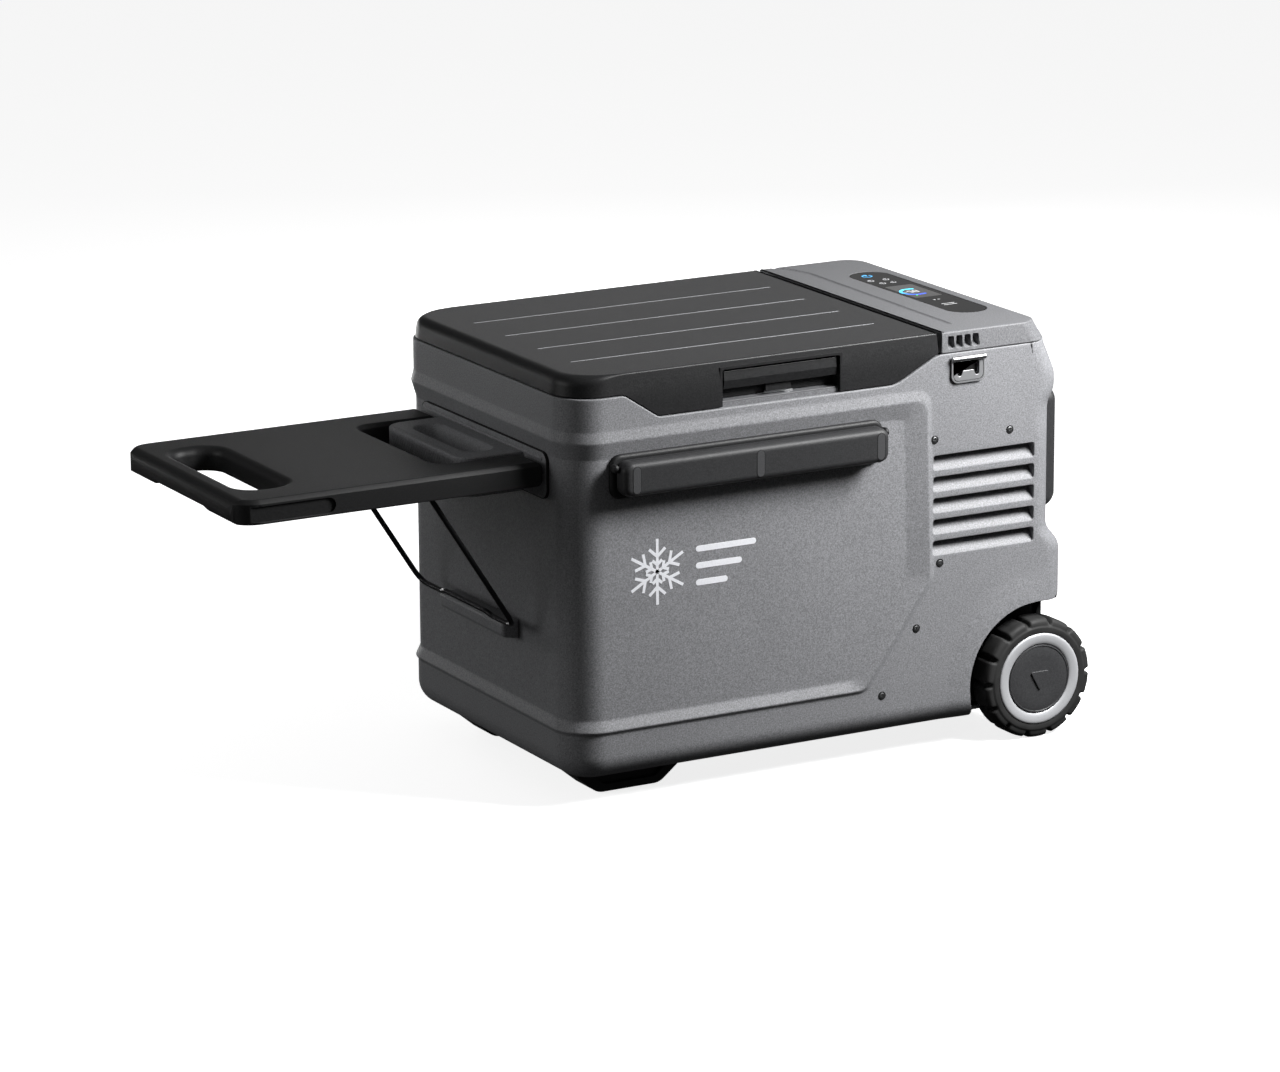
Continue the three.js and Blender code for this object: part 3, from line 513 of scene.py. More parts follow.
def circuit(name):
    material, nodes, links, shader = blank(name)
    tracks = nodes.new("ShaderNodeTexBrick")
    tracks.inputs["Scale"].default_value = 90
    tracks.inputs["Color1"].default_value = (0.012, 0.09, 0.03, 1)
    tracks.inputs["Color2"].default_value = (0.016, 0.12, 0.045, 1)
    tracks.inputs["Mortar"].default_value = (0.05, 0.2, 0.08, 1)
    tracks.inputs["Mortar Size"].default_value = 0.03
    where = nodes.new("ShaderNodeTexCoord")
    links.new(where.outputs["Object"], tracks.inputs["Vector"])
    links.new(tracks.outputs["Color"], shader.inputs["Base Color"])
    shader.inputs["Roughness"].default_value = 0.45
    bumps(nodes, links, tracks.outputs["Fac"], 0.3, 0.0002, shader)
    return material


GREY_PLASTIC = moulded("grey_plastic", 0.25, 0.5)
PANEL_PLASTIC = moulded("panel_plastic", 0.17, 0.5)
LID_PLASTIC = moulded("lid_plastic", 0.017, 0.42, speckle=0.34)
BLACK_PLASTIC = moulded("black_plastic", 0.016, 0.5, speckle=0.3, grain=600)
TABLE_PLASTIC = moulded("table_plastic", 0.013, 0.5, speckle=0.3, grain=600)
HANDLE_PLASTIC = moulded("handle_plastic", 0.032, 0.5, speckle=0.26)
CAP_PLASTIC = moulded("cap_plastic", 0.055, 0.4, speckle=0.2)
INLAY_PLASTIC = moulded("inlay_plastic", 0.062, 0.5, speckle=0.12)
BOSS_PLASTIC = moulded("boss_plastic", 0.26, 0.55)
PALE_MARK = moulded("pale_mark", 0.88, 0.5, speckle=0.05)
LINE_INLAY = moulded("line_inlay", 0.36, 0.5, speckle=0.1)
LINER_PLASTIC = moulded("liner_plastic", 0.13, 0.4, speckle=0.04, grain=500, depth=0.0001)
# Near-black plastic for sheets and rings set in gaps, seams and hollows: painted shade where those places
# fall dark.
GAP_SHADE = moulded("gap_painted_shade", 0.006, 0.7, speckle=0.2)
TYRE_RUBBER = rubber("tyre_rubber", 0.014)
SEAL_RUBBER = rubber("seal_rubber", 0.02)
STEEL = metal("brushed_steel", (0.5, 0.51, 0.52), 0.3)
SATIN_SILVER = metal("satin_silver", (0.66, 0.67, 0.69), 0.42, metallic=0.35)
OPENER_STEEL = metal("opener_steel", (0.62, 0.63, 0.645), 0.36, metallic=0.8)
BLACK_STEEL = metal("black_steel", (0.012, 0.012, 0.013), 0.28, metallic=0.3)
SCREW_STEEL = metal("screw_steel", (0.3, 0.305, 0.31), 0.35)
ALUMINIUM = metal("aluminium", (0.6, 0.61, 0.62), 0.38)
COPPER = metal("copper", (0.62, 0.27, 0.14), 0.32)
COMPRESSOR_BLACK = metal("compressor_enamel", (0.015, 0.015, 0.016), 0.32, metallic=0.1)
FOAM = foam("insulation")
GLASS = glossy("cover_glass", 0.0015)
CIRCUIT = circuit("circuit_board")

# ---------------------------------------------------------------------- chest


def between(knots, value):
    """Straight runs between knots (place, value)."""
    return float(np.interp(value, [k[0] for k in knots], [k[1] for k in knots]))


def machine_end(z):
    """Where the machine end's wall lies at a height, its knees softened."""
    return sum(between(MACHINE_END, z + soft) for soft in (-6, -3, 0, 3, 6)) / 5


def recess_outline(shape):
    """An outline of the recess in (x, z); it runs on past the table end."""
    knee_x, knee_z = shape["knee"]
    corners = [
        (-FAR, shape["bottom"], 0),
        (shape["foot"], shape["bottom"], shape["corner"]),
        (knee_x, knee_z, 30),
        (shape["right"], shape["top"], shape["corner"]),
        (-FAR, shape["top"], 0),
    ]
    return rounded(corners, 8)


def recess_edge(shape, z):
    """The x of an outline's machine end at a height."""
    knee_x, knee_z = shape["knee"]
    return between([(shape["bottom"], shape["foot"]), (knee_z, knee_x), (shape["top"], shape["right"])], z)


def signed_distance(points, outline):
    """How far points lie outside an outline, negative inside."""
    nearest = np.full(len(points), 1e9)
    inside = np.zeros(len(points), bool)
    x, y = points[:, 0], points[:, 1]
    for i, end in enumerate(outline):
        start = outline[i - 1]
        along = np.array(end) - np.array(start)
        offset = points - np.array(start)
        share = np.clip((offset @ along) / (along @ along), 0, 1)
        nearest = np.minimum(nearest, np.hypot(*(offset - share[:, None] * along).T))
        if end[1] != start[1]:
            crosses = (start[1] > y) != (end[1] > y)
            crossing = start[0] + (y - start[1]) / (end[1] - start[1]) * along[0]
            inside ^= crosses & (x < crossing)
    return np.where(inside, -nearest, nearest)


def relief(x, z):
    """How far the side wall stands out from its plain plane at places (x, z)."""
    total = np.zeros(len(x))
    softening = [(0, 0), (0.9, 0), (-0.9, 0), (0, 0.9), (0, -0.9)]
    for dx, dz in softening:
        places = np.stack([x + dx, z + dz], 1)
        floor, crest, foot = (signed_distance(places, recess_outline(s)) for s in (RECESS, CREST, RIDGE))
        up = np.clip(floor / np.maximum(floor - crest, 1e-6), 0, 1)
        down = np.clip(crest / np.maximum(crest - foot, 1e-6), 0, 1)
        slope = -RECESS_DEEP + (RECESS_DEEP + RIDGE_OUT) * up
        total += np.where(crest < 0, slope, RIDGE_OUT * (1 - down))
    return np.minimum(total / len(softening) + flare(x, z), RIDGE_OUT)


def flare(x, z):
    """The wall's swell round the wheel arch."""
    gap = np.hypot(x - WHEEL.x, z - WHEEL.z) - WELL_RADIUS
    near = np.clip(1 - gap / 42, 0, 1)
    return np.where((x > 470) & (x < 700), 2.8 * near * near * (3 - 2 * near), 0)


def chest_columns():
    """The columns round the chest, anticlockwise from above, as (place, value)."""
    arc = np.linspace(0, 90, 15)
    left = [*np.linspace(46, 62, 4), *np.linspace(65, 112, 16), *np.linspace(122, 330, 14)]
    right = list(np.linspace(476, 586, 20))
    follow = [("before", s) for s in np.linspace(0.12, 0.94, 8)]
    follow += [("up", s) for s in (-0.06, 0, 0.06, 0.15, 0.3, 0.45, 0.6, 0.75, 0.88, 0.96, 1)]
    follow += [("down", s) for s in (0.15, 0.35, 0.6, 0.85, 1, 1.2)]
    follow += [("after", s) for s in (0.2, 0.5, 0.8)]
    side = [("at", x) for x in left] + follow + [("at", x) for x in right]
    walls = [("table_end", y) for y in np.linspace(150, -150, 13)]
    ends = [("machine_end", y) for y in np.linspace(-150, 150, 13)]
    columns = [("table_front", 180 + a) for a in arc] + [("front", s) for s in side]
    columns += [("machine_front", 270 + a) for a in arc] + ends
    columns += [("machine_back", a) for a in arc] + [("back", s) for s in reversed(side)]
    columns += [("table_back", 90 + a) for a in arc] + walls
    return columns


def side_x(rule, z):
    """A side column's x at a height: fixed, or following the recess's edge."""
    kind, share = rule
    floor, crest, foot = (recess_edge(s, z) for s in (RECESS, CREST, RIDGE))
    runs = {"before": (330, floor), "up": (floor, crest), "down": (crest, foot), "after": (foot, 470)}
    if kind == "at":
        return share
    start, end = runs[kind]
    return start + (end - start) * share


def plan_point(column, inset, z, right):
    """A column's point (x, y) on the plan, set in from its widest."""
    place, value = column
    half = HALF - inset
    if place in ("front", "back"):
        return side_x(value, z), half * (-1 if place == "front" else 1)
    if place == "table_end":
        return LEFT + inset, value
    if place == "machine_end":
        return right - inset, value
    end, side = place.split("_")
    radius = max((TABLE_CORNER if end == "table" else MACHINE_CORNER) - inset, 4)
    x = LEFT + inset + radius if end == "table" else right - inset - radius
    y = (radius - half) * (1 if side == "front" else -1)
    angle = math.radians(value)
    return x + radius * math.cos(angle), y + radius * math.sin(angle)


def rim_height(column):
    """The height of the chest's rim: it dips under the latch on the front."""
    place, value = column
    if place != "front":
        return RIM - 0.3
    x = side_x(value, RIM)
    first, second, third, fourth = DIP_X
    knots = [(first, RIM - 0.3), (second, DIP), (third, DIP), (fourth, RIM - 0.3)]
    soft = 7 if x > (second + third) / 2 else 3
    return sum(between(knots, x + soft * k / 3) for k in range(-3, 4)) / 7


def chest_rows():
    """Levels below the ridge's top, from the underside up."""
    arc = [BOTTOM + BOTTOM_RADIUS * (1 - math.cos(math.radians(a))) for a in np.linspace(0, 90, 13)]
    step = [24, 30, 36, *np.arange(41, 43, 1), *np.arange(43, 50, 0.8), *np.arange(50, 64, 1.4)]
    low = [*np.arange(66, 205, 3.2)]
    middle = [*np.arange(208, 345, 7)]
    chamfer = [*np.arange(347, 352, 1.6), *np.arange(352, 369, 2), *np.arange(369, 386, 1.1)]
    return [*arc, *step, *low, *middle, *chamfer]


def ring_at(columns, inset, z, right=None):
    right = machine_end(z) if right is None else right
    return [(*plan_point(c, inset, z, right), z) for c in columns]


def outer_rings(columns):
    rows = chest_rows()
    where = [(side_x(c[1], z) if c[0] in ("front", "back") else None, z) for z in rows for c in columns]
    ends = {"table": -FAR / 2, "machine": FAR}
    names = [c[0].split("_")[0] for c in columns] * len(rows)
    x = np.array([ends[n] if place is None else place for (place, _), n in zip(where, names)])
    proud = relief(x, np.array([z for _, z in where])).reshape(len(rows), len(columns))
    rings = []
    for z, outs in zip(rows, proud):
        right = machine_end(z)
        rings.append([(*plan_point(c, fillet(z) - out, z, right), z) for c, out in zip(columns, outs)])
    return rings


def fillet(z):
    """How far the rounded bottom edge draws the wall in at a height."""
    drop = max(BOTTOM + BOTTOM_RADIUS - z, 0)
    return BOTTOM_RADIUS - math.sqrt(max(BOTTOM_RADIUS**2 - drop**2, 0))


def rim_rings(columns, base):
    """The rings from the ridge's top over the rim and down the inside."""
    heights = [rim_height(c) for c in columns]
    arc = [math.radians(a) for a in (0, 25, 50, 75, 90)]
    steps = [(share, 0) for share in (0.2, 0.45, 0.7, 0.9)]
    edge = [(1, RIM_EDGE * (1 - math.cos(a)), RIM_EDGE * (math.sin(a) - 1)) for a in arc]
    inner = [(1, WALL - RIM_EDGE, 0), (1, WALL, -RIM_EDGE)]
    rings = []
    for share, inset, lift in [*((s, i, -RIM_EDGE * s) for s, i in steps), *edge, *inner]:
        ring = []
        for column, height in zip(columns, heights):
            z = base + (height - base) * share + lift
            ring.append((*plan_point(column, inset, z, machine_end(z)), z))
        rings.append(ring)
    return rings


def chest_shell():
    columns = chest_columns()
    outside = outer_rings(columns)
    over = rim_rings(columns, outside[-1][0][2])
    inner_end = 620
    walls = [ring_at(columns, WALL, z, inner_end) for z in (380, 250, 120, 60)]
    radius = BOTTOM_RADIUS - WALL
    turns = [math.radians(a) for a in (90, 65, 40, 15, 0)]
    bottom = [
        ring_at(columns, WALL + radius * (1 - math.sin(a)), FLOOR + radius * (1 - math.cos(a)), inner_end)
        for a in turns
    ]
    shell = loft([*outside, *over, *walls, *bottom])
    bay = rectangle((BATTERY_Y[0] + 4, BATTERY_Y[1] - 4), (BATTERY_Z[0] + 2, BATTERY_Z[1] - 2), 8)
    pocket = rectangle((OPENER_X[0] + 8, OPENER_X[1] - 8), (393, 409), 2)
    return cut(
        shell,
        group(*vent_cutters(), *well_cutters(1.2)),
        stack("x", bay, [(0, 600), (0, FAR)]),
        drill("y", pocket, (-FAR, -HALF + 3), (0, None)),
    )


def vent_cutters():
    tools = []
    for z in VENT_Z:
        outline = rectangle(VENT_X, z, 3)
        tools.append(drill("y", outline, (-HALF, -HALF + 40), (1.1, None)))
        tools.append(drill("y", outline, (HALF - 40, HALF), (None, 1.1)))
    return tools


def well_outline(radius):
    """An arch over one wheel in (x, z), open past the machine end."""
    arc = [math.radians(90 + 180 * k / 48) for k in range(49)]
    points = [Vector((WHEEL.x + radius * math.cos(a), WHEEL.z + radius * math.sin(a))) for a in arc]
    return [*points, Vector((FAR, WHEEL.z - radius)), Vector((FAR, WHEEL.z + radius))]


def well_cutters(edge):
    outline = well_outline(WELL_RADIUS)
    front = drill("y", outline, (-HALF, -WELL_INNER), (edge, None))
    return [front, drill("y", outline, (WELL_INNER, HALF), (None, edge))]


def wheel_well():
    """The dark lining of the front wheel's arch."""
    skin = 3
    outer = stack("y", well_outline(WELL_RADIUS + skin), [(0, -HALF + 5), (0, -WELL_INNER + skin)])
    room = stack("y", well_outline(WELL_RADIUS + 0.2), [(0, -FAR), (0, -WELL_INNER)])
    return overlap(cut(outer, room), block((400, 626), (-FAR, 0), (1, 400)))


def arch_lip():
    """A rounded flare round the front wheel's arch."""
    path = []
    for angle in np.linspace(92, 201, 50):
        x = WHEEL.x + 90 * math.cos(math.radians(angle))
        z = WHEEL.z + 90 * math.sin(math.radians(angle))
        path.append(Vector((x, -HALF + 0.9 + fillet(z), z)))
    return tube(path, 2.4, 14)


def louvres():
    """Sloping blades behind the vent slots of the front."""
    outer, inner = -HALF + 0.6, -HALF + 14.5
    blades = []
    for low, high in VENT_Z:
        section = [(outer + 1.5, low - 2.8), (inner, high - 4.6), (inner, high - 2.6), (outer, low - 0.8)]
        outline = [Vector(p) for p in section]
        blades.append(stack("x", outline, [(0, VENT_X[0] + 0.1), (0, VENT_X[1] - 0.1)]))
    return group(*blades)


def end_walls():
    """The side walls of the vent slots, so the blades end against something."""
    cheeks = []
    for x in VENT_X:
        side = 1 if x == VENT_X[1] else -1
        span = sorted((x, x + 2 * side))
        cheeks.append(block(span, (-HALF + 5.5, -HALF + 15), (VENT_Z[-1][0] - 2, VENT_Z[0][1] + 1)))
    return group(*cheeks)


def condenser_fins():
    """The finned condenser behind the vents."""
    x, y, z = limits("condenser")
    front = y[1] - 10
    depth, height = (front, y[1]), (z[0] + 5, z[1] - 5)
    fins = [block((u, u + 0.5), depth, height) for u in np.arange(x[0] + 4, x[1] - 4, 2.6)]
    runs = [z[0] + 14 + 21 * k for k in range(5)]
    tubes = [bar((x[0] + 3, front + 5, u), (x[1] - 3, front + 5, u), 2.4, 10) for u in runs]
    frame_ring = cut(
        slab("y", rectangle(x, z, 4), (front - 0.5, y[1]), (0.5, 0.5)),
        block((x[0] + 3, x[1] - 3), (-FAR, 0), (z[0] + 4, z[1] - 4)),
    )
    return group(frame_ring, *fins, *tubes)


def screw_head(x, z):
    """A small countersunk screw in a ring, on the front wall."""
    face = -HALF
    profile = [(-0.35, 0.01), (-0.9, 1.0), (-1.0, 2.6), (-0.6, 3.4), (0.5, 3.5)]
    head = turned("y", (x, z), [(face + out, radius) for out, radius in profile], 28)
    slots = [
        block((x - 1.9, x + 1.9), (face - 2, face - 0.3), (z - 0.4, z + 0.4)),
        block((x - 0.4, x + 0.4), (face - 2, face - 0.3), (z - 1.9, z + 1.9)),
    ]
    return cut(head, *slots)


def screw_gap_shade(x, z):
    """The dark ring round a cover screw: painted shade in the gap round its head."""
    profile = [(-0.1, 3.5), (-0.45, 3.8), (-0.5, 4.6), (-0.1, 4.9), (0.6, 4.9), (0.6, 3.5)]
    return turned("y", (x, z), [(-HALF + out, radius) for out, radius in profile], 28, closed=True)


def cover_screws():
    nodes = ["cover_screw_%d" % k for k in range(1, 6)]
    for node in nodes:
        x, _, z = (sum(pair) / 2 for pair in limits(node))
        number = node[-1]
        piece("screw_head_" + number, screw_head(x, z), SCREW_STEEL, "cooler", [node])
        # The dark rings round the screws are painted shade in the gaps round their heads.
        piece("screw_ring_" + number, screw_gap_shade(x, z), GAP_SHADE, "cooler")
        piece("back_screw_head_" + number, mirrored(screw_head(x, z)), SCREW_STEEL, "cooler")
        piece("back_screw_gap_shade_" + number, mirrored(screw_gap_shade(x, z)), GAP_SHADE, "cooler")


def foot():
    """Two feet, each a rim round a shallow pocket, joined by a web under the chest."""
    top, ground = FOOT_Z[1], FOOT_Z[0]
    corners = [(40, top, 0), (31, -16, 6), (60, ground, 20), (138, ground, 20), (168, -16, 6), (160, top, 0)]
    outline = rounded(corners, 8)
    pocket = [(54, top + 3, 0), (54, -18, 5), (68, -31, 9), (132, -31, 9), (148, -18, 6), (150, top + 3, 0)]
    inner = rounded(pocket, 8)
    near, far = FOOT_Y
    feet = [slab("y", outline, span, (2, 2)) for span in ((near, near + 45), (far - 45, far))]
    front = drill("y", inner, (near, near + 6), (1, None))
    back = drill("y", inner, (far - 6, far), (None, 1))
    web = slab("y", rectangle((66, 150), (-15, top), 2), (near + 30, far - 30), (0, 0))
    return join(cut(feet[0], front), web, cut(feet[1], back))


def liner():
    """The cold box: a tub with a broad flange, its edges rounded."""
    x, half = (38, 408), 163
    flange = [(LINER_X[0], -LINER_Y[1], 40), (LID_X[1] - 1, -LINER_Y[1], 3)]
    flange += [(LID_X[1] - 1, LINER_Y[1], 3), (LINER_X[0], LINER_Y[1], 40)]
    deck = slab("z", rounded(flange, 12), (LINER_Z[1] - 3, LINER_Z[1]), (0, 0.6))
    skin = 2.2
    outside = rectangle((x[0] - skin, x[1] + skin), (-half - skin, half + skin), 27, 12)
    tub = slab("z", outside, (LINER_Z[0], LINER_Z[1] - 1), (14, 0))
    inside = rectangle(x, (-half, half), 25, 12)
    arc = [math.radians(a) for a in np.linspace(0, 90, 8)]
    floor = LINER_Z[0] + skin
    levels = [(12, floor)] + [(12 * (1 - math.sin(a)), floor + 12 * (1 - math.cos(a))) for a in arc[1:]]
    top = [(-3 * (1 - math.cos(a)), LINER_Z[1] - 3 + 3 * math.sin(a)) for a in arc]
    return cut(join(deck, tub), stack("z", inside, [*levels, *top, (-3, FAR)]))


def bay_seam_shade():
    """A thin dark frame round the battery's opening in the end wall, set back in the seam: painted shade in
    the gap round the pack.
    """
    outline = rectangle((BATTERY_Y[0] + 1, BATTERY_Y[1] - 1), (BATTERY_Z[0] + 1, BATTERY_Z[1] - 1), 10)
    ring = slab("x", outline, (BATTERY_FACE - 2, BATTERY_FACE - 0.3), (0, 0.4))
    return cut(ring, drill("x", grow(outline, -3.5), (610, 630), (0, 0)))


def latch_shelf():
    """The strip of the rim that shows under the latch."""
    section = [(-HALF + 5.7, 384), (-HALF + 17, 384), (-HALF + 17, 398.6), (-HALF + 5.7, 396)]
    return stack("x", [Vector(p) for p in section], [(0, 66), (0, 462)])


def battery():
    """The pack that slides in at the machine end, with a moulded end cap."""
    cap = rectangle(BATTERY_Y, BATTERY_Z, 14)
    end = BATTERY_X[1]
    face = BATTERY_FACE
    rounding = [(0, 9), (0.5, 5.5), (2, 2.4), (4.6, 0.5), (6.5, 0), (7.2, 0)]
    levels = [(0.6, face), (0, face + 1.4), *((inset, end - back) for inset, back in rounding)]
    shell = stack("x", cap, levels)
    low = BATTERY_Z[0]
    slope = [(640, low - 1), (end + 5, low - 1), (end + 5, low + 22), (end, low + 20), (end - 13, low)]
    shell = cut(shell, stack("y", [Vector(p) for p in slope], [(0, -FAR), (0, FAR)]))
    grip = rectangle((BATTERY_Y[0] + 40, BATTERY_Y[1] - 40), (BATTERY_Z[1] - 26, BATTERY_Z[1] - 10), 7.9)
    shell = cut(shell, drill("x", grip, (end - 9, end), (None, 2)))
    inner = slab("x", rectangle((-120, 120), (208, 338), 10), (BATTERY_X[0], face + 0.3), (1, 0))
    return group(shell, inner)


def snowflake_mark():
    """A plain snowflake with three bars beside it, printed on the front."""
    face = -HALF + RECESS_DEEP
    centre = Vector((106, 219))
    arm, width = 37, 3.4
    twigs = [((17, 0), (26, 10)), ((17, 0), (26, -10)), ((8, 0), (13, 6)), ((8, 0), (13, -6))]
    bars = [((0, 0), (arm, 0)), *twigs]
    parts = []
    for k in range(6):
        spin = Matrix.Rotation(math.radians(60 * k + 30), 2)
        for start, end in bars:
            a, b = spin @ Vector(start) + centre, spin @ Vector(end) + centre
            side = Vector((a.y - b.y, b.x - a.x)).normalized() * width / 2
            outline = [a - side, b - side, b + side, a + side]
            if (b - a).cross(side) < 0:
                outline.reverse()
            lift = 0.03 * (len(parts) % 5)
            parts.append(stack("y", outline, [(0, face - 0.25 - lift), (0, face + 0.1)]))
    for k, length in enumerate((76, 58, 40)):
        z = 238 - 19 * k
        outline = rectangle((154, 154 + length), (z - 3.4, z + 3.4), 3.39)
        parts.append(slab("y", outline, (face - 0.25, face + 0.1), (0.1, 0)))
    return group(*parts)


def build_chest():
    piece("chest_shell", chest_shell(), GREY_PLASTIC, "cooler", ["outer_shell"], angle=50)
    for side in ("front", "back"):
        louvre, cheeks, well, lip = louvres(), end_walls(), wheel_well(), arch_lip()
        if side == "back":
            louvre, cheeks, well, lip = (mirrored(s) for s in (louvre, cheeks, well, lip))
        piece("vent_louvres_" + side, louvre, GREY_PLASTIC, "cooler")
        piece("vent_cheeks_" + side, cheeks, GREY_PLASTIC, "cooler")
        piece("wheel_well_" + side, well, BLACK_PLASTIC, "cooler")
        piece("arch_lip_" + side, lip, GREY_PLASTIC, "cooler")
    piece("condenser_fins", condenser_fins(), ALUMINIUM, "cooler", ["condenser"])
    piece("front_mark", snowflake_mark(), PALE_MARK, "cooler")
    piece("cross_foot", foot(), BLACK_PLASTIC, "cooler", ["foot_bar"])
    piece("cold_box_liner", liner(), LINER_PLASTIC, "cooler", ["inner_liner"])
    # The dark frame round the battery is painted shade in the seam.
    piece("battery_seam_shade", bay_seam_shade(), GAP_SHADE, "cooler")
    piece("latch_shelf", latch_shelf(), PANEL_PLASTIC, "cooler")
    piece("battery_case", battery(), HANDLE_PLASTIC, "battery", ["battery_pack"])
    cover_screws()


# ------------------------------------------------------------------------ lid


def lid_columns():
    """Columns round the lid as (x, y, outward x, outward y, low edge, top radius)."""
    columns = []

    def add(x, y, nx, ny, low=RIM + 0.6, radius=2.2):
        columns.append((x, y, nx, ny, low, radius))

    def side_radius(x):
        return 1.8 + 9.2 * (0.5 + 0.5 * math.cos(math.pi * min(max((x - 8) / 62, 0), 1)))

    def corner(x, y, radius, start, top):
        for k in range(17):
            angle = math.radians(start + 90 * k / 16)
            nx, ny = math.cos(angle), math.sin(angle)
            here = x + radius * nx
            add(here, y + radius * ny, nx, ny, radius=top(here))

    right, square = LID_X[1], 3
    corner(LEFT + LID_CORNER, -HALF + LID_CORNER, LID_CORNER, 180, side_radius)
    front = [*np.linspace(48, 62, 4), *np.linspace(65, 112, 20), *np.linspace(118, 400, 24)]
    front += [*np.linspace(404, 461, 26)]
    for x in front:
        add(x, -HALF, 0, -1, rim_height(("front", ("at", x))) + SKIRT_GAP, side_radius(x))
    corner(right - square, -HALF + square, square, 270, lambda _: 1.5)
    for y in np.linspace(-190, 190, 9):
        add(right, y, 1, 0, radius=1.5)
    corner(right - square, HALF - square, square, 0, lambda _: 1.5)
    for x in np.linspace(461, 48, 30):
        add(x, HALF, 0, 1, radius=side_radius(x))
    corner(LEFT + LID_CORNER, HALF - LID_CORNER, LID_CORNER, 90, side_radius)
    for y in np.linspace(150, -150, 9):
        add(LEFT, y, -1, 0, radius=11)
    return columns


def lid_shell():
    columns = lid_columns()
    draft = 2 / 20

    def ring(rule):
        made = []
        for x, y, nx, ny, low, radius in columns:
            inset, z = rule(low, radius)
            inset += LID_INSET + draft * max(z - RIM, 0)
            made.append((x - nx * inset, y - ny * inset, z))
        return made

    arc = [math.radians(a) for a in np.linspace(0, 90, 10)]
    lip = 0.8
    inner, ceiling = 5, TOP - 5
    rings = [ring(lambda low, r: (lip, low)), ring(lambda low, r: (0, low + lip))]
    for share in (0.15, 0.35, 0.6, 0.85, 0.97):
        rings.append(ring(lambda low, r: (0, low + lip + (TOP - r - low - lip) * share)))
    for a in arc:
        rings.append(ring(lambda low, r: (r * (1 - math.cos(a)), TOP - r + r * math.sin(a))))
    rings.append(ring(lambda low, r: (r + 1.2, TOP)))
    inside = [ring(lambda low, r: (inner, ceiling)), ring(lambda low, r: (inner, low))]
    outer = loft([*inside, *rings])
    back, top, wall = -185, 434, 3
    pocket = block((LATCH_X[0] - wall, LATCH_X[1] + wall), (-HALF + 1.5, back + wall), (399, top + wall))
    hand = drill("y", rectangle(LATCH_X, (300, top), 2.5), (-HALF + 1.2, back), (0.9, None))
    return cut(join(outer, pocket), hand)


def lid_lines():
    """The four pale lines let into the lid's top."""
    lines = []
    for y in LID_LINES_Y:
        outline = rectangle((44, 428), (y - 1.1, y + 1.1), 1.05)
        lines.append(slab("z", outline, (TOP - 0.5, TOP + 0.12), (0, 0.1)))
    return group(*lines)


def latch():
    """The latch: a paddle with a rolled lower edge, on a pin, and its hook."""
    x = (190.4, 333.6)
    section = [(-192, 411.5, 1), (-192, 431, 1.5), (-198.2, 432, 1.2), (-199.4, 421, 3), (-197.5, 411.2, 1.5)]
    outline = [Vector((p.x, p.y)) for p in rounded([section[0], *reversed(section[1:])], 6)]
    paddle = slab("x", outline, x, (0.8, 0.8))
    pin = turned("x", (-194, 429.5), [(LEVER_X[0], 2.2), (LEVER_X[1], 2.2)], 20)
    middle = sum(x) / 2
    hook = slab("y", rectangle((middle - 16, middle + 16), (402, 420), 1.5), (-194, -190.6), (0.4, 0.4))
    lip = slab("y", rectangle((middle - 16, middle + 16), (402, 404), 0.8), (-193, -188.6), (0.3, 0.3))
    return join(paddle, pin, hook, lip)


def build_lid():
    piece("lid_cover", lid_shell(), LID_PLASTIC, "lid", ["lid_shell"])
    piece("lid_line_inlays", lid_lines(), LINE_INLAY, "lid")
    piece("latch_paddle", latch(), LID_PLASTIC, "latch", ["latch_lever"])


# ---------------------------------------------------------------------- panel


def panel_outline(right):
    corners = [(PANEL_LEFT, -HALF, 2), (right, -HALF, PANEL_CORNER)]
    corners += [(right, HALF, PANEL_CORNER), (PANEL_LEFT, HALF, 2)]
    return rounded(corners, 14)


def panel_shell():
    """The fixed top over the machine end, with a soft step beside the lid."""
    edge = 2.2
    arc = [math.radians(a) for a in np.linspace(0, 90, 8)]
    levels = [(1.0, 612, RIM + 0.4), (0, 612, RIM + 1.4), (1, 606, 432), (2, 601, TOP - edge)]
    levels += [(2 + edge * (1 - math.cos(a)), 601, TOP - edge + edge * math.sin(a)) for a in arc[1:]]
    levels += [(2 + edge + 1, 601, TOP)]
    rings = []
    for inset, right, z in levels:
        points = grow(panel_outline(right), -inset)
        left = PANEL_LEFT + min(inset, 1.2)
        rings.append([(max(p.x, left), p.y, z) for p in points])
    shell = loft(rings)
    seat = grow(glass_outline(), 0.4)
    slots = [rectangle((x, x + SLOT_WIDE), (425, 439), 2) for x in SLOT_X]
    cutters = [drill("y", outline, (-HALF + 1, -HALF + 13), (0.9, None)) for outline in slots]
    return cut(shell, drill("z", seat, (GLASS_Z[0] - 0.2, TOP), (None, 0.5)), group(*cutters), groove())


def groove():
    """A shallow channel beside the lid, curving in at the back."""
    depth, radius = 1.5, 7
    height = TOP + radius - depth
    run = [(474, 216, height), (506, 176, height), (500, -160, height), (499.5, -186, height + 4)]
    return tube(bent(run, [34, 10], 16), radius, 48)


def slot_floors():
    """Sloping floors in the small slots of the panel's front."""
    floors = []
    for x in SLOT_X:
        outline = [Vector(p) for p in [(-HALF + 1.8, 424.6), (-HALF + 12.6, 424.6), (-HALF + 12.6, 431)]]
        floors.append(stack("x", outline, [(0, x + 0.1), (0, x + SLOT_WIDE - 0.1)]))
    return group(*floors)


def glass_outline():
    return rectangle(GLASS_X, GLASS_Y, (GLASS_X[1] - GLASS_X[0]) / 2 - 0.02, 16)


def display_glass():
    return slab("z", glass_outline(), (GLASS_Z[0], GLASS_TOP), (0.2, 0.5))


def thin(outline, lift=0.0):
    """A mark of printed thickness on the glass."""
    return stack("z", outline, [(0, GLASS_TOP - 0.1), (0, GLASS_TOP + 0.1 + lift)])


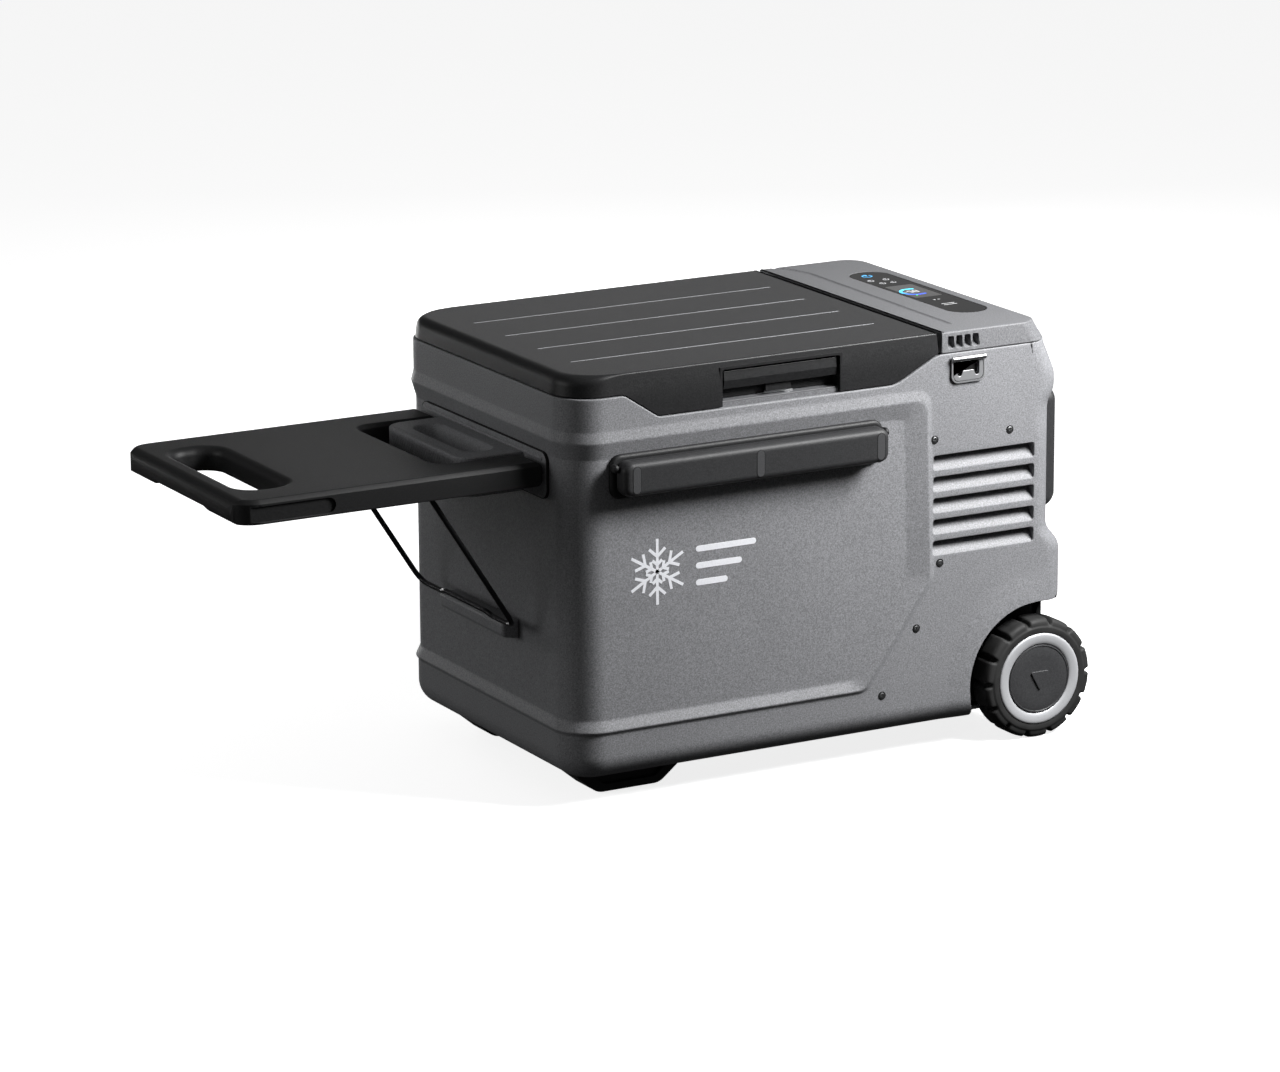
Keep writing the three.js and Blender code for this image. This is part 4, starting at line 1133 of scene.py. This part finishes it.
def arc_band(centre, inner, outer, start, end, steps=28):
    turns = [math.radians(start + (end - start) * k / steps) for k in range(steps + 1)]
    far = [centre + outer * Vector((math.cos(a), math.sin(a))) for a in turns]
    near = [centre + inner * Vector((math.cos(a), math.sin(a))) for a in reversed(turns)]
    return far + near


def bar_mark(start, end, width, lift=0.0):
    start, end = Vector(start), Vector(end)
    side = Vector((start.y - end.y, end.x - start.x)).normalized() * width / 2
    return thin([start - side, end - side, end + side, start + side], lift)


def digit(segments, x, y, size):
    """A seven-segment figure, read from the latch side; x, y is its middle."""
    wide, tall = size / 4, size / 2
    lines = {
        "top": ((-wide, tall), (wide, tall)),
        "middle": ((-wide, 0), (wide, 0)),
        "bottom": ((-wide, -tall), (wide, -tall)),
        "high_left": ((-wide, 0), (-wide, tall)),
        "high_right": ((wide, 0), (wide, tall)),
        "low_left": ((-wide, -tall), (-wide, 0)),
        "low_right": ((wide, -tall), (wide, 0)),
    }
    marks = []
    for k, name in enumerate(segments):
        (ax, ay), (bx, by) = lines[name]
        marks.append(bar_mark((x + ax, y + ay), (x + bx, y + by), size * 0.16, 0.01 * k))
    return marks


def touch_icon(x, y, size):
    """A small round button mark: a ring and a bar."""
    centre = Vector((x, y))
    ring = thin(arc_band(centre, size * 0.72, size, 60, 400))
    return [ring, bar_mark((x, y), (x, y + size * 1.1), size * 0.3, 0.02)]


def display_marks():
    middle = Vector((557.6, 3.2))
    screen = rectangle((541, 577), (-28, 41), 3)
    figures = digit(["top", "high_left", "middle", "low_right", "bottom"], 554, 5, 9)
    every = ["top", "high_right", "middle", "bottom", "low_right", "high_left", "low_left"]
    figures += digit(every, 561, 5, 9)
    figures += [bar_mark((546, 5), (549.5, 5), 1.4)]
    white = []
    for x, y, size in ((546, 79, 4), (566, 78, 4), (551, 61, 4), (565, 60, 3.4)):
        white += touch_icon(x, y, size)
    white += [bar_mark((549, -70 - 6 * k), (566, -70 - 6 * k), 1.3) for k in range(2)]
    white += [bar_mark((553 + 6 * k, -46), (556 + 6 * k, -46), 1.6) for k in range(2)]
    blue = touch_icon(556, 104, 6.5)
    dark = lit("screen_dark", (0.012, 0.011, 0.011), (0.02, 0.019, 0.019), 0.4)
    cyan = lit("gauge_blue", (0.01, 0.06, 0.6), (0.05, 0.6, 0.85), 1.6)
    pale = lit("mark_white", (0.55, 0.55, 0.56), (0.5, 0.5, 0.52), 0.5)
    sky = lit("mark_blue", (0.03, 0.3, 0.62), (0.05, 0.36, 0.7), 0.9)
    green = lit("mark_green", (0.02, 0.42, 0.06), (0.03, 0.5, 0.08), 0.9)
    marks = {
        "screen": (stack("z", screen, [(0, GLASS_TOP - 0.1), (0, GLASS_TOP + 0.05)]), dark),
        "gauge": (thin(arc_band(middle, 13.5, 17, 60, 300), 0.03), cyan),
        "figures": (group(*figures), pale),
        "icons": (group(*white), pale),
        "power": (group(*blue), sky),
        "eco": (group(bar_mark((549, -17), (552, -13), 2.2)), green),
    }
    for name, (mark, material) in marks.items():
        piece("display_" + name, mark, material, "cooler")


def opener_plate():
    """The bottle opener: a rimmed steel plate with a toothed mouth."""
    face = -HALF - 0.3
    x, z = OPENER_X, (OPENER_Z[0], OPENER_Z[1] - 3)
    outline = rounded([(x[0], z[0], 9), (x[1], z[0], 9), (x[1], z[1], 1), (x[0], z[1], 1)], 8)
    # The black back shows only as a dark line in the groove between rim and plate: painted shade.
    back = slab("y", outline, (face - 1.3, face), (0.4, 0))
    rim = cut(
        slab("y", outline, (face - 2.4, face - 1.2), (0.6, 0)),
        stack("y", grow(outline, -2), [(0, -FAR), (0, 0)]),
    )
    plate = slab("y", grow(outline, -2.7), (face - 2.4, face - 1.2), (0.5, 0))
    mouth = opener_mouth()
    back = cut(back, drill("y", mouth, (-FAR, 0), (0, 0)))
    plate = cut(plate, drill("y", mouth, (face - 2.4, face + 6), (0.4, 0)))
    return back, rim, plate


def opener_mouth():
    """The mouth's outline: an oblong with two teeth, wider at the top."""
    left, right, low, high = 486, 514, 393, 409
    corners = [
        (left, low, 2.4),
        (left + 5, low, 2.4),
        (left + 7, low + 6, 1.5),
        (right - 7, low + 6, 1.5),
        (right - 5, low, 2.4),
        (right, low, 2.4),
        (right, high, 2),
        (left, high, 2),
    ]
    return rounded(corners, 5)


def opener_roll():
    """The rolled top edge, with rounded ends."""
    y, z, radius = OPENER_Y[0] + 3, OPENER_Z[1] - 3, 3
    x0, x1 = OPENER_X
    profile = [(x0, radius - 0.7), (x0 + 0.7, radius), (x1 - 0.7, radius), (x1, radius - 0.7)]
    return turned("x", (y, z), profile, 32)


def build_panel():
    piece("machine_cover", panel_shell(), PANEL_PLASTIC, "cooler", ["top_panel"])
    piece("slot_floors", slot_floors(), PANEL_PLASTIC, "cooler")
    piece("display_cover", display_glass(), GLASS, "cooler", ["display_glass"])
    display_marks()
    back, rim, plate = opener_plate()
    # Black back that shows as the groove round the plate: painted shade.
    piece("opener_back_groove_shade", back, BLACK_STEEL, "cooler")
    piece("opener_rim", rim, OPENER_STEEL, "cooler")
    piece("opener_plate", plate, OPENER_STEEL, "cooler", ["bottle_opener"])
    piece("opener_roll", opener_roll(), STEEL, "cooler")
    # A dark floor in the pocket behind the opener's mouth: painted shade in the hollow.
    pocket = rectangle((OPENER_X[0] + 8.4, OPENER_X[1] - 8.4), (393.4, 408.6), 1.8)
    pocket_shade_floor = stack("y", pocket, [(0, -HALF + 2.4), (0, -HALF + 3.2)])
    piece("opener_pocket_shade", pocket_shade_floor, GAP_SHADE, "cooler")


# --------------------------------------------------------------------- handles


def handle_bow():
    """A carry handle's grip: a rounded bar with room for fingers behind."""
    x, z = GRIP_X, GRIP_Z
    outline = rectangle(x, z, 11, 10)
    bow = slab("y", outline, (GRIP_FACE, GRIP_Y[1]), (7, 3), 8)
    fingers = rectangle((x[0] + 9, x[1] - 9), (z[0] - 30, z[1] - 12), 4)
    bow = cut(bow, drill("y", fingers, (GRIP_Y[0] + 7, GRIP_Y[1]), (None, 1)))
    rows = [GRIP_Y[1] - 9 + 3.2 * k for k in range(3)]
    rails = [block((x[0] + 14, x[1] - 14), (y, y + 1.4), (z[1] - 1.4, FAR)) for y in rows]
    return cut(bow, *rails)


def handle_inlays():
    """Three upright inlays in the grip's face, and dark sheets in the gaps round them: painted shade."""
    plates, shadows = [], []
    for x in (GRIP_X[0] + 14.5, sum(GRIP_X) / 2 + 1.5, GRIP_X[1] - 12):
        outline = rectangle((x - 4.6, x + 4.6), (317, 346.3), 4.5)
        shadows.append(stack("y", grow(outline, 0.7), [(0, GRIP_FACE - 0.06), (0, GRIP_FACE + 0.6)]))
        plates.append(slab("y", outline, (GRIP_FACE - 0.28, GRIP_FACE + 0.5), (0.2, 0)))
    return group(*plates), group(*shadows)


def handle_mount():
    """The black plate behind the handle, with the ears that hold its rod."""
    wall = MOUNT_Y[1]
    span = (MOUNT_Z[0], GRIP_Z[1] + 5)
    plate = slab("y", rectangle(MOUNT_X, span, 13, 10), (wall - 5.5, wall), (4, 0))
    fingers = rectangle((GRIP_X[0] + 9, GRIP_X[1] - 9), (GRIP_Z[0] - 2, GRIP_Z[1] - 6), 6)
    plate = cut(plate, drill("y", fingers, (wall - 5.5, wall - 2), (1.5, None)))
    ears = []
    for x in (MOUNT_X[0] + 1.8, MOUNT_X[1] - 1.8):
        outline = rectangle((-217.4, wall - 4), (339, 348), 4.2)
        ears.append(slab("x", outline, (x - 2.3, x + 2.3), (1.6, 1.6)))
    return group(plate, *ears)


def build_handles():
    for side in ("front", "back"):
        solids = [handle_bow(), *handle_inlays(), handle_mount()]
        if side == "back":
            solids = [half_turn(s, HANDLE_MIDDLE) for s in solids]
        bow, plates, shadows, mount = solids
        body = side + "_handle"
        piece("grip_" + side, bow, HANDLE_PLASTIC, body, ["handle_" + side])
        piece("grip_inlays_" + side, plates, INLAY_PLASTIC, body)
        # Dark sheets round the inlays: painted shade in the gaps.
        piece("grip_inlay_gap_shade_" + side, shadows, GAP_SHADE, body)
        piece("grip_mount_" + side, mount, BLACK_PLASTIC, "cooler", ["handle_mount_" + side])


# ----------------------------------------------------------------------- table


def table_deck():
    """The table's top: a plate with a hand hole, open towards the chest round the boss."""
    out, end = TABLE_X
    half = TABLE_Y[1]
    low, top = TABLE_Z
    throat, throat_half, corner = -109, 102, 18
    deck = rounded(
        [
            (out, -half, 30),
            (end, -half, 5),
            (end, -throat_half, 5),
            (throat, -throat_half, corner),
            (throat, throat_half, corner),
            (end, throat_half, 5),
            (end, half, 5),
            (out, half, 30),
        ],
        10,
    )
    chamfer = [(2, low), (0.6, low + 0.6), (0, low + 2), (0, top - 5)]
    chamfer += [(0.3, top - 4.2), (3.4, top - 0.7), (4.3, top - 0.12), (5, top)]
    plate = stack("z", deck, chamfer)
    side = rounded([(out, low, 9), (end, low, 10), (end, top, 10), (out, top, 13.5)], 12)
    plate = overlap(plate, stack("y", side, [(0, -FAR), (0, FAR)]))
    grip = rectangle(TABLE_HOLE_X, (-100, 100), 24, 12)
    hole = drill("z", grip, (low, top), (3, 10), 10)
    plate = cut(plate, hole, table_hollow(grip), finger_relief(), *side_pockets())
    return join(plate, *rod_lugs())


def table_hollow(grip):
    """The underside, hollow inside a rim, kept solid round the grip."""
    room = rectangle((TABLE_X[0] + 12, -116), (-143, 143), 20)
    hollow = stack("z", room, [(0, TABLE_Z[0] - 5), (0, TABLE_Z[1] - 5)])
    low = TABLE_Z[1] - 7
    return cut(hollow, stack("z", grip, [(-4.6, 0), (-4.6, low), (-12, low + 3), (-12, FAR)]))


def finger_relief():
    x, low = TABLE_X[0], TABLE_Z[0]
    outline = rounded([(-82, low - 20, 0), (82, low - 20, 0), (70, low + 6, 12), (-70, low + 6, 12)], 8)
    return stack("x", outline, [(0, x - 5), (0, x + 26)])


def side_pockets():
    """An oblong recess in each long edge, near the outer bar."""
    outline = rectangle((-362, -254), (TABLE_Z[0] + 3, TABLE_Z[0] + 19.5), 8.2, 10)
    near, far = TABLE_Y
    return [
        drill("y", outline, (near, near + 2.6), (0.8, None)),
        drill("y", outline, (far - 2.6, far), (None, 0.8)),
    ]


def rod_lugs():
    """Blocks under the table that the strut's ends turn in."""
    low, top = TABLE_Z
    outline = rectangle((-146.4, -130.4), (low + 1, top - 4), 3)
    spans = [(121, 144.5), (-144.5, -121)]
    return [slab("y", outline, span, (1, 1)) for span in spans]


def strut_path():
    """The strut's line: from a lug, down one leg, along the ledge and back."""
    pivot, rest = STRUT_PIVOT, STRUT_REST
    half, end, rise = 115, 130, 4
    length = math.dist(pivot, rest)
    raised = [rest[i] + (pivot[i] - rest[i]) * rise / length for i in (0, 1)]
    leg = [
        (pivot[0], -end, pivot[1]),
        (pivot[0], -half, pivot[1]),
        (rest[0], -half, rest[1]),
        (rest[0], -60, rest[1]),
        (raised[0], -50, raised[1]),
    ]
    return [*leg, *((x, -y, z) for x, y, z in reversed(leg))]


def tow_boss():
    """The grey housing between the table's arms, dished for fingers on top."""
    x, wall = BOSS_X
    half = BOSS_Y[1]
    low, top = BOSS_Z
    plan = rounded([(x, -half, 24), (wall, -half, 0), (wall, half, 0), (x, half, 24)], 12)
    boss = stack("z", plan, rim_levels((low, top), (6, 1.8), 8))
    lean = [(x - 5, top - 3), (x - 5, low - 5), (x + 9, low - 5), (x, top - 3)]
    boss = cut(boss, stack("y", [Vector(p) for p in lean], [(0, -FAR), (0, FAR)]))
    dish = rectangle((x + 22, -22), (-half + 27, half - 27), 16.4, 12)
    curve = [(-4, -5), (-4, 0), (-2.6, 0.15), (-1.2, 0.9), (0.3, 2.4), (2, 5), (4, 9)]
    curve += [(6.5, 13.5), (10, 17), (14, 18.6)]
    bowl = [(inset, top - depth) for inset, depth in curve]
    seams = [block((x + u, x + u + 0.7), (-half + 14, half - 14), (top - 0.9, FAR)) for u in (4.2, 7)]
    return cut(boss, stack("z", dish, bowl), *seams)


def boss_ribs():
    """Fine upright ribs on the housing's sloping outer face."""
    x, low, top = BOSS_X[0], BOSS_Z[0], BOSS_Z[1]
    ribs = []
    for y in np.arange(-74, 75, 4.6):
        lean = [(x + 6.8, low + 3), (x + 9, low + 3), (x + 3, top - 6), (x - 0.2, top - 5)]
        shape = [Vector((a, b)) for a, b in lean]
        ribs.append(stack("y", shape, [(0, y - 1.4), (0, y + 1.4)]))
    return group(*ribs)


def tow_plate():
    """The plate behind the table's arms, with a bead along its top."""
    outline = rectangle(PLATE_Y, PLATE_Z, 11, 10)
    face = PLATE_X[1] - 3.4
    plate = slab("x", outline, (face, PLATE_X[1]), (0.9, 0))
    bead_z = PLATE_Z[1] - 7
    bead = bar((face + 0.9, PLATE_Y[0] + 8, bead_z), (face + 0.9, PLATE_Y[1] - 8, bead_z), 2.3)
    return group(plate, bead)


# A dark sheet behind the plate, a little larger than it, that shows as a line round it: painted shade in the
# gap.
def tow_plate_gap_shade():
    outline = grow(rectangle(PLATE_Y, PLATE_Z, 11, 10), 0.9)
    return stack("x", outline, [(0, PLATE_X[1] - 2.9), (0, PLATE_X[1] + 0.2)])


def ledge():
    """The ledge on the end wall that the strut's bar rests on."""
    x, wall = LEDGE_X
    low, high = LEDGE_Z
    section = rounded([(x, low + 4, 6), (wall, low, 0), (wall, high, 0), (x, high, 6)], 10)
    return slab("y", section, LEDGE_Y, (4, 4))


def build_table():
    piece("table_deck", table_deck(), TABLE_PLASTIC, "table", ["table_top"])
    strut = tube(bent(strut_path(), [5, 18, 4, 4, 4, 4, 18, 5], 10), 3, 20)
    piece("strut", strut, BLACK_STEEL, "rod", ["support_rod"])
    piece("tow_housing", tow_boss(), BOSS_PLASTIC, "cooler", ["tow_boss"])
    piece("tow_housing_ribs", boss_ribs(), BOSS_PLASTIC, "cooler")
    piece("tow_escutcheon", tow_plate(), GREY_PLASTIC, "cooler", ["tow_plate"])
    # The dark line round the plate is painted shade in the gap.
    piece("tow_escutcheon_gap_shade", tow_plate_gap_shade(), GAP_SHADE, "cooler")
    piece("strut_ledge", ledge(), GREY_PLASTIC, "cooler", ["rod_rest"])


# ---------------------------------------------------------------------- wheels


def smooth(value):
    """Runs from 0 to 1 with soft ends."""
    value = min(max(value, 0), 1)
    return value * value * (3 - 2 * value)


def tyre():
    """A rubber tyre with chunky lugs over the tread and shoulders."""
    lugs = 14
    face, inner, outer = TYRE_Y[0], TYRE_Y[1], (TYRE_Z[1] - TYRE_Z[0]) / 2
    bead = 53.4
    half = [(0.6, bead), (0, 56), (0, 59), (0.2, 60.2), (0.9, 61), (1.1, 62.5), (1.2, 65), (2.2, 67.6)]
    half += [(5, 69.4), (9, outer), (14, outer)]
    profile = [(face + d, r) for d, r in half] + [(inner - d, r) for d, r in reversed(half)]

    def lugged(angle, place, radius):
        share = (angle * lugs / (2 * math.pi)) % 1
        gap = smooth((abs(share - 0.5) - 0.38) / 0.06)
        high = smooth((radius - 61) / 4)
        side = 1 if place < (face + inner) / 2 else -1
        return place + side * 2.4 * gap * high, radius - 4.2 * gap * smooth((radius - 62) / 6)

    return turned("y", (WHEEL.x, WHEEL.z), profile, lugs * 20, closed=True, shape=lugged)


def wheel_ring():
    """The satin ring and the web behind it."""
    face = CAP_Y[0]
    profile = [(4, 53.2), (1.6, 53), (0.7, 52.2), (0.3, 50.6), (0.3, 48), (0.7, 44.5), (1.4, 41.8)]
    profile += [(2.2, 40.8), (7, 40.4), (12, 30), (14, 12), (34, 12), (34, 9), (22, 9), (22, 44)]
    profile += [(35, 47), (35, 53)]
    return turned("y", (WHEEL.x, WHEEL.z), [(face + deep, r) for deep, r in profile], 96, closed=True)


def wheel_cap():
    """The hub cap: a shallow dome with an embossed triangle."""
    face, radius = CAP_Y[0], 39.8
    profile = [(6, 39), (2, radius), (1.1, radius - 0.5), (0.9, radius - 1.6), (1.6, radius - 2.2)]
    profile += [(1.4, radius - 3), (0.8, radius - 9), (1, 24), (1.3, 12), (1.4, 0.01)]
    cap = turned("y", (WHEEL.x, WHEEL.z), [(face + deep, r) for deep, r in profile], 96)
    triangle = [(WHEEL.x - 12.5, WHEEL.z + 9), (WHEEL.x, WHEEL.z - 14), (WHEEL.x + 12.5, WHEEL.z + 9)]
    outline = rounded([(*p, 1.6) for p in triangle], 5)
    return join(cap, slab("y", outline, (face - 0.3, face + 2), (0.7, 0), 4))


def build_wheels():
    for side in ("front", "back"):
        solids = [tyre(), wheel_ring(), wheel_cap()]
        if side == "back":
            solids = [half_turn(s, WHEEL.x) for s in solids]
        body = side + "_wheel"
        piece("lugged_tyre_" + side, solids[0], TYRE_RUBBER, body, ["tyre_" + side], angle=55)
        piece("wheel_ring_" + side, solids[1], SATIN_SILVER, body, ["rim_" + side])
        piece("wheel_cap_" + side, solids[2], CAP_PLASTIC, body, ["hub_cap_" + side])


# ------------------------------------------------------- finishes on CAD nodes


def carry_over(material, *nodes, edge=0.3):
    """Gives CAD nodes a finish, and rounds their edges a little."""
    for name in nodes:
        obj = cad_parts[name]
        obj.data.materials.clear()
        obj.data.materials.append(material)
        obj.data.shade_smooth()
        weld = obj.modifiers.new("weld", "WELD")
        weld.merge_threshold = 0.00002
        soften = obj.modifiers.new("soften", "BEVEL")
        soften.width = edge * MM
        soften.segments = 2
        soften.limit_method = "ANGLE"
        soften.angle_limit = math.radians(50)
        soften.harden_normals = True


def finish_frame_nodes():
    carry_over(ALUMINIUM, "evaporator")
    carry_over(FOAM, "insulation_foam", "lid_foam")
    carry_over(LINER_PLASTIC, "bulkhead", "lid_liner", edge=0.8)
    carry_over(SEAL_RUBBER, "lid_gasket", edge=0.5)
    carry_over(STEEL, "latch_striker", "lid_hinge_pin_table_end", "lid_hinge_pin_machine_end")
    carry_over(STEEL, "axle", "compressor_bracket", "opener_screw")
    carry_over(BLACK_STEEL, "table_pivot_front", "table_pivot_back", "handle_rod_front", "handle_rod_back")
    carry_over(BLACK_PLASTIC, "lid_hinge_table_end", "lid_hinge_machine_end", "fan_shroud", "fan_rotor")
    carry_over(BLACK_PLASTIC, "battery_bay", "power_inlet")
    carry_over(COMPRESSOR_BLACK, "compressor")
    carry_over(COPPER, "filter_dryer", "battery_terminals", "discharge_line", "suction_line", edge=0.2)
    carry_over(CIRCUIT, "control_board", "display_board", edge=0.1)


# ----------------------------------------------------------------------- stage


def camera():
    """A long lens, from the table end of the latch side and a little above."""
    place = Vector((-2.7386, -5.0611, 1.7443))
    yaw, pitch, roll = 0.5028, 0.2544, -0.0067
    ahead = Vector((math.sin(yaw) * math.cos(pitch), math.cos(yaw) * math.cos(pitch), -math.sin(pitch)))
    level = Vector((math.cos(yaw), -math.sin(yaw), 0))
    over = level.cross(ahead)
    right = level * math.cos(roll) + over * math.sin(roll)
    up = over * math.cos(roll) - level * math.sin(roll)
    data = bpy.data.cameras.new("camera")
    data.lens = 149.05
    data.sensor_width = 36
    data.clip_end = 100
    obj = bpy.data.objects.new("camera", data)
    bpy.context.scene.collection.objects.link(obj)
    obj.matrix_world = Matrix(
        (
            (right.x, up.x, -ahead.x, place.x),
            (right.y, up.y, -ahead.y, place.y),
            (right.z, up.z, -ahead.z, place.z),
            (0, 0, 0, 1),
        )
    )
    bpy.context.scene.camera = obj


def floor():
    """A pale floor that lights up by itself, and that the object doesn't mirror."""
    mesh = bpy.data.meshes.new("floor")
    size = 30
    corners = [(-size, -size, 0), (size, -size, 0), (size, size, 0), (-size, size, 0)]
    mesh.from_pydata(corners, [], [(0, 1, 2, 3)])
    obj = bpy.data.objects.new("floor", mesh)
    bpy.context.scene.collection.objects.link(obj)
    material, nodes, links, shader = blank("studio_floor")
    tone = noise(nodes, links, 0.8, 2)
    paint(nodes, links, tone, [(0.3, (0.84,) * 3), (0.7, (0.86,) * 3)], shader)
    shader.inputs["Roughness"].default_value = 0.9
    shader.inputs["Specular IOR Level"].default_value = 0.1
    shader.inputs["Emission Color"].default_value = (1, 1, 1, 1)
    shader.inputs["Emission Strength"].default_value = 0.82
    mesh.materials.append(material)
    obj.visible_diffuse = False
    obj.visible_glossy = False


def softbox(name, place, target, size, power):
    data = bpy.data.lights.new(name, "AREA")
    data.shape = "RECTANGLE"
    data.size, data.size_y = size
    data.energy = power
    obj = bpy.data.objects.new(name, data)
    bpy.context.scene.collection.objects.link(obj)
    obj.location = place
    obj.rotation_mode = "QUATERNION"
    obj.rotation_quaternion = (Vector(target) - Vector(place)).to_track_quat("-Z", "Y")


def studio_sky():
    """Even light from above, little from below."""
    world = bpy.data.worlds.new("studio")
    world.use_nodes = True
    nodes, links = world.node_tree.nodes, world.node_tree.links
    where = nodes.new("ShaderNodeTexCoord")
    apart = nodes.new("ShaderNodeSeparateXYZ")
    links.new(where.outputs["Generated"], apart.inputs["Vector"])
    shades = [(0, (0.02,) * 3), (0.48, (0.035,) * 3), (0.56, (0.07,) * 3), (1, (0.12,) * 3)]
    height = nodes.new("ShaderNodeMapRange")
    height.inputs["From Min"].default_value = -1
    links.new(apart.outputs["Z"], height.inputs["Value"])
    colour = ramp(nodes, links, height.outputs["Result"], shades)
    links.new(colour, nodes["Background"].inputs["Color"])
    bpy.context.scene.world = world


def build_stage():
    floor()
    studio_sky()
    softbox("key", (0.92, -0.85, 1.2), (0.25, -0.1, 0.25), (0.6, 0.6), 46)
    softbox("sheen", (1.6, 2.6, 1.2), (0.2, 0, 0.45), (1.6, 0.8), 3)
    softbox("fill", (-2.3, 0.5, 0.9), (-0.1, 0, 0.3), (1.2, 1.0), 9)
    softbox("back", (0.3, 2.6, 0.25), (0.2, 0, 0.25), (2.4, 0.4), 22)
    bpy.context.scene.view_settings.view_transform = "Standard"


camera()
build_chest()
build_lid()
build_panel()
build_handles()
build_table()
build_wheels()
finish_frame_nodes()
build_stage()
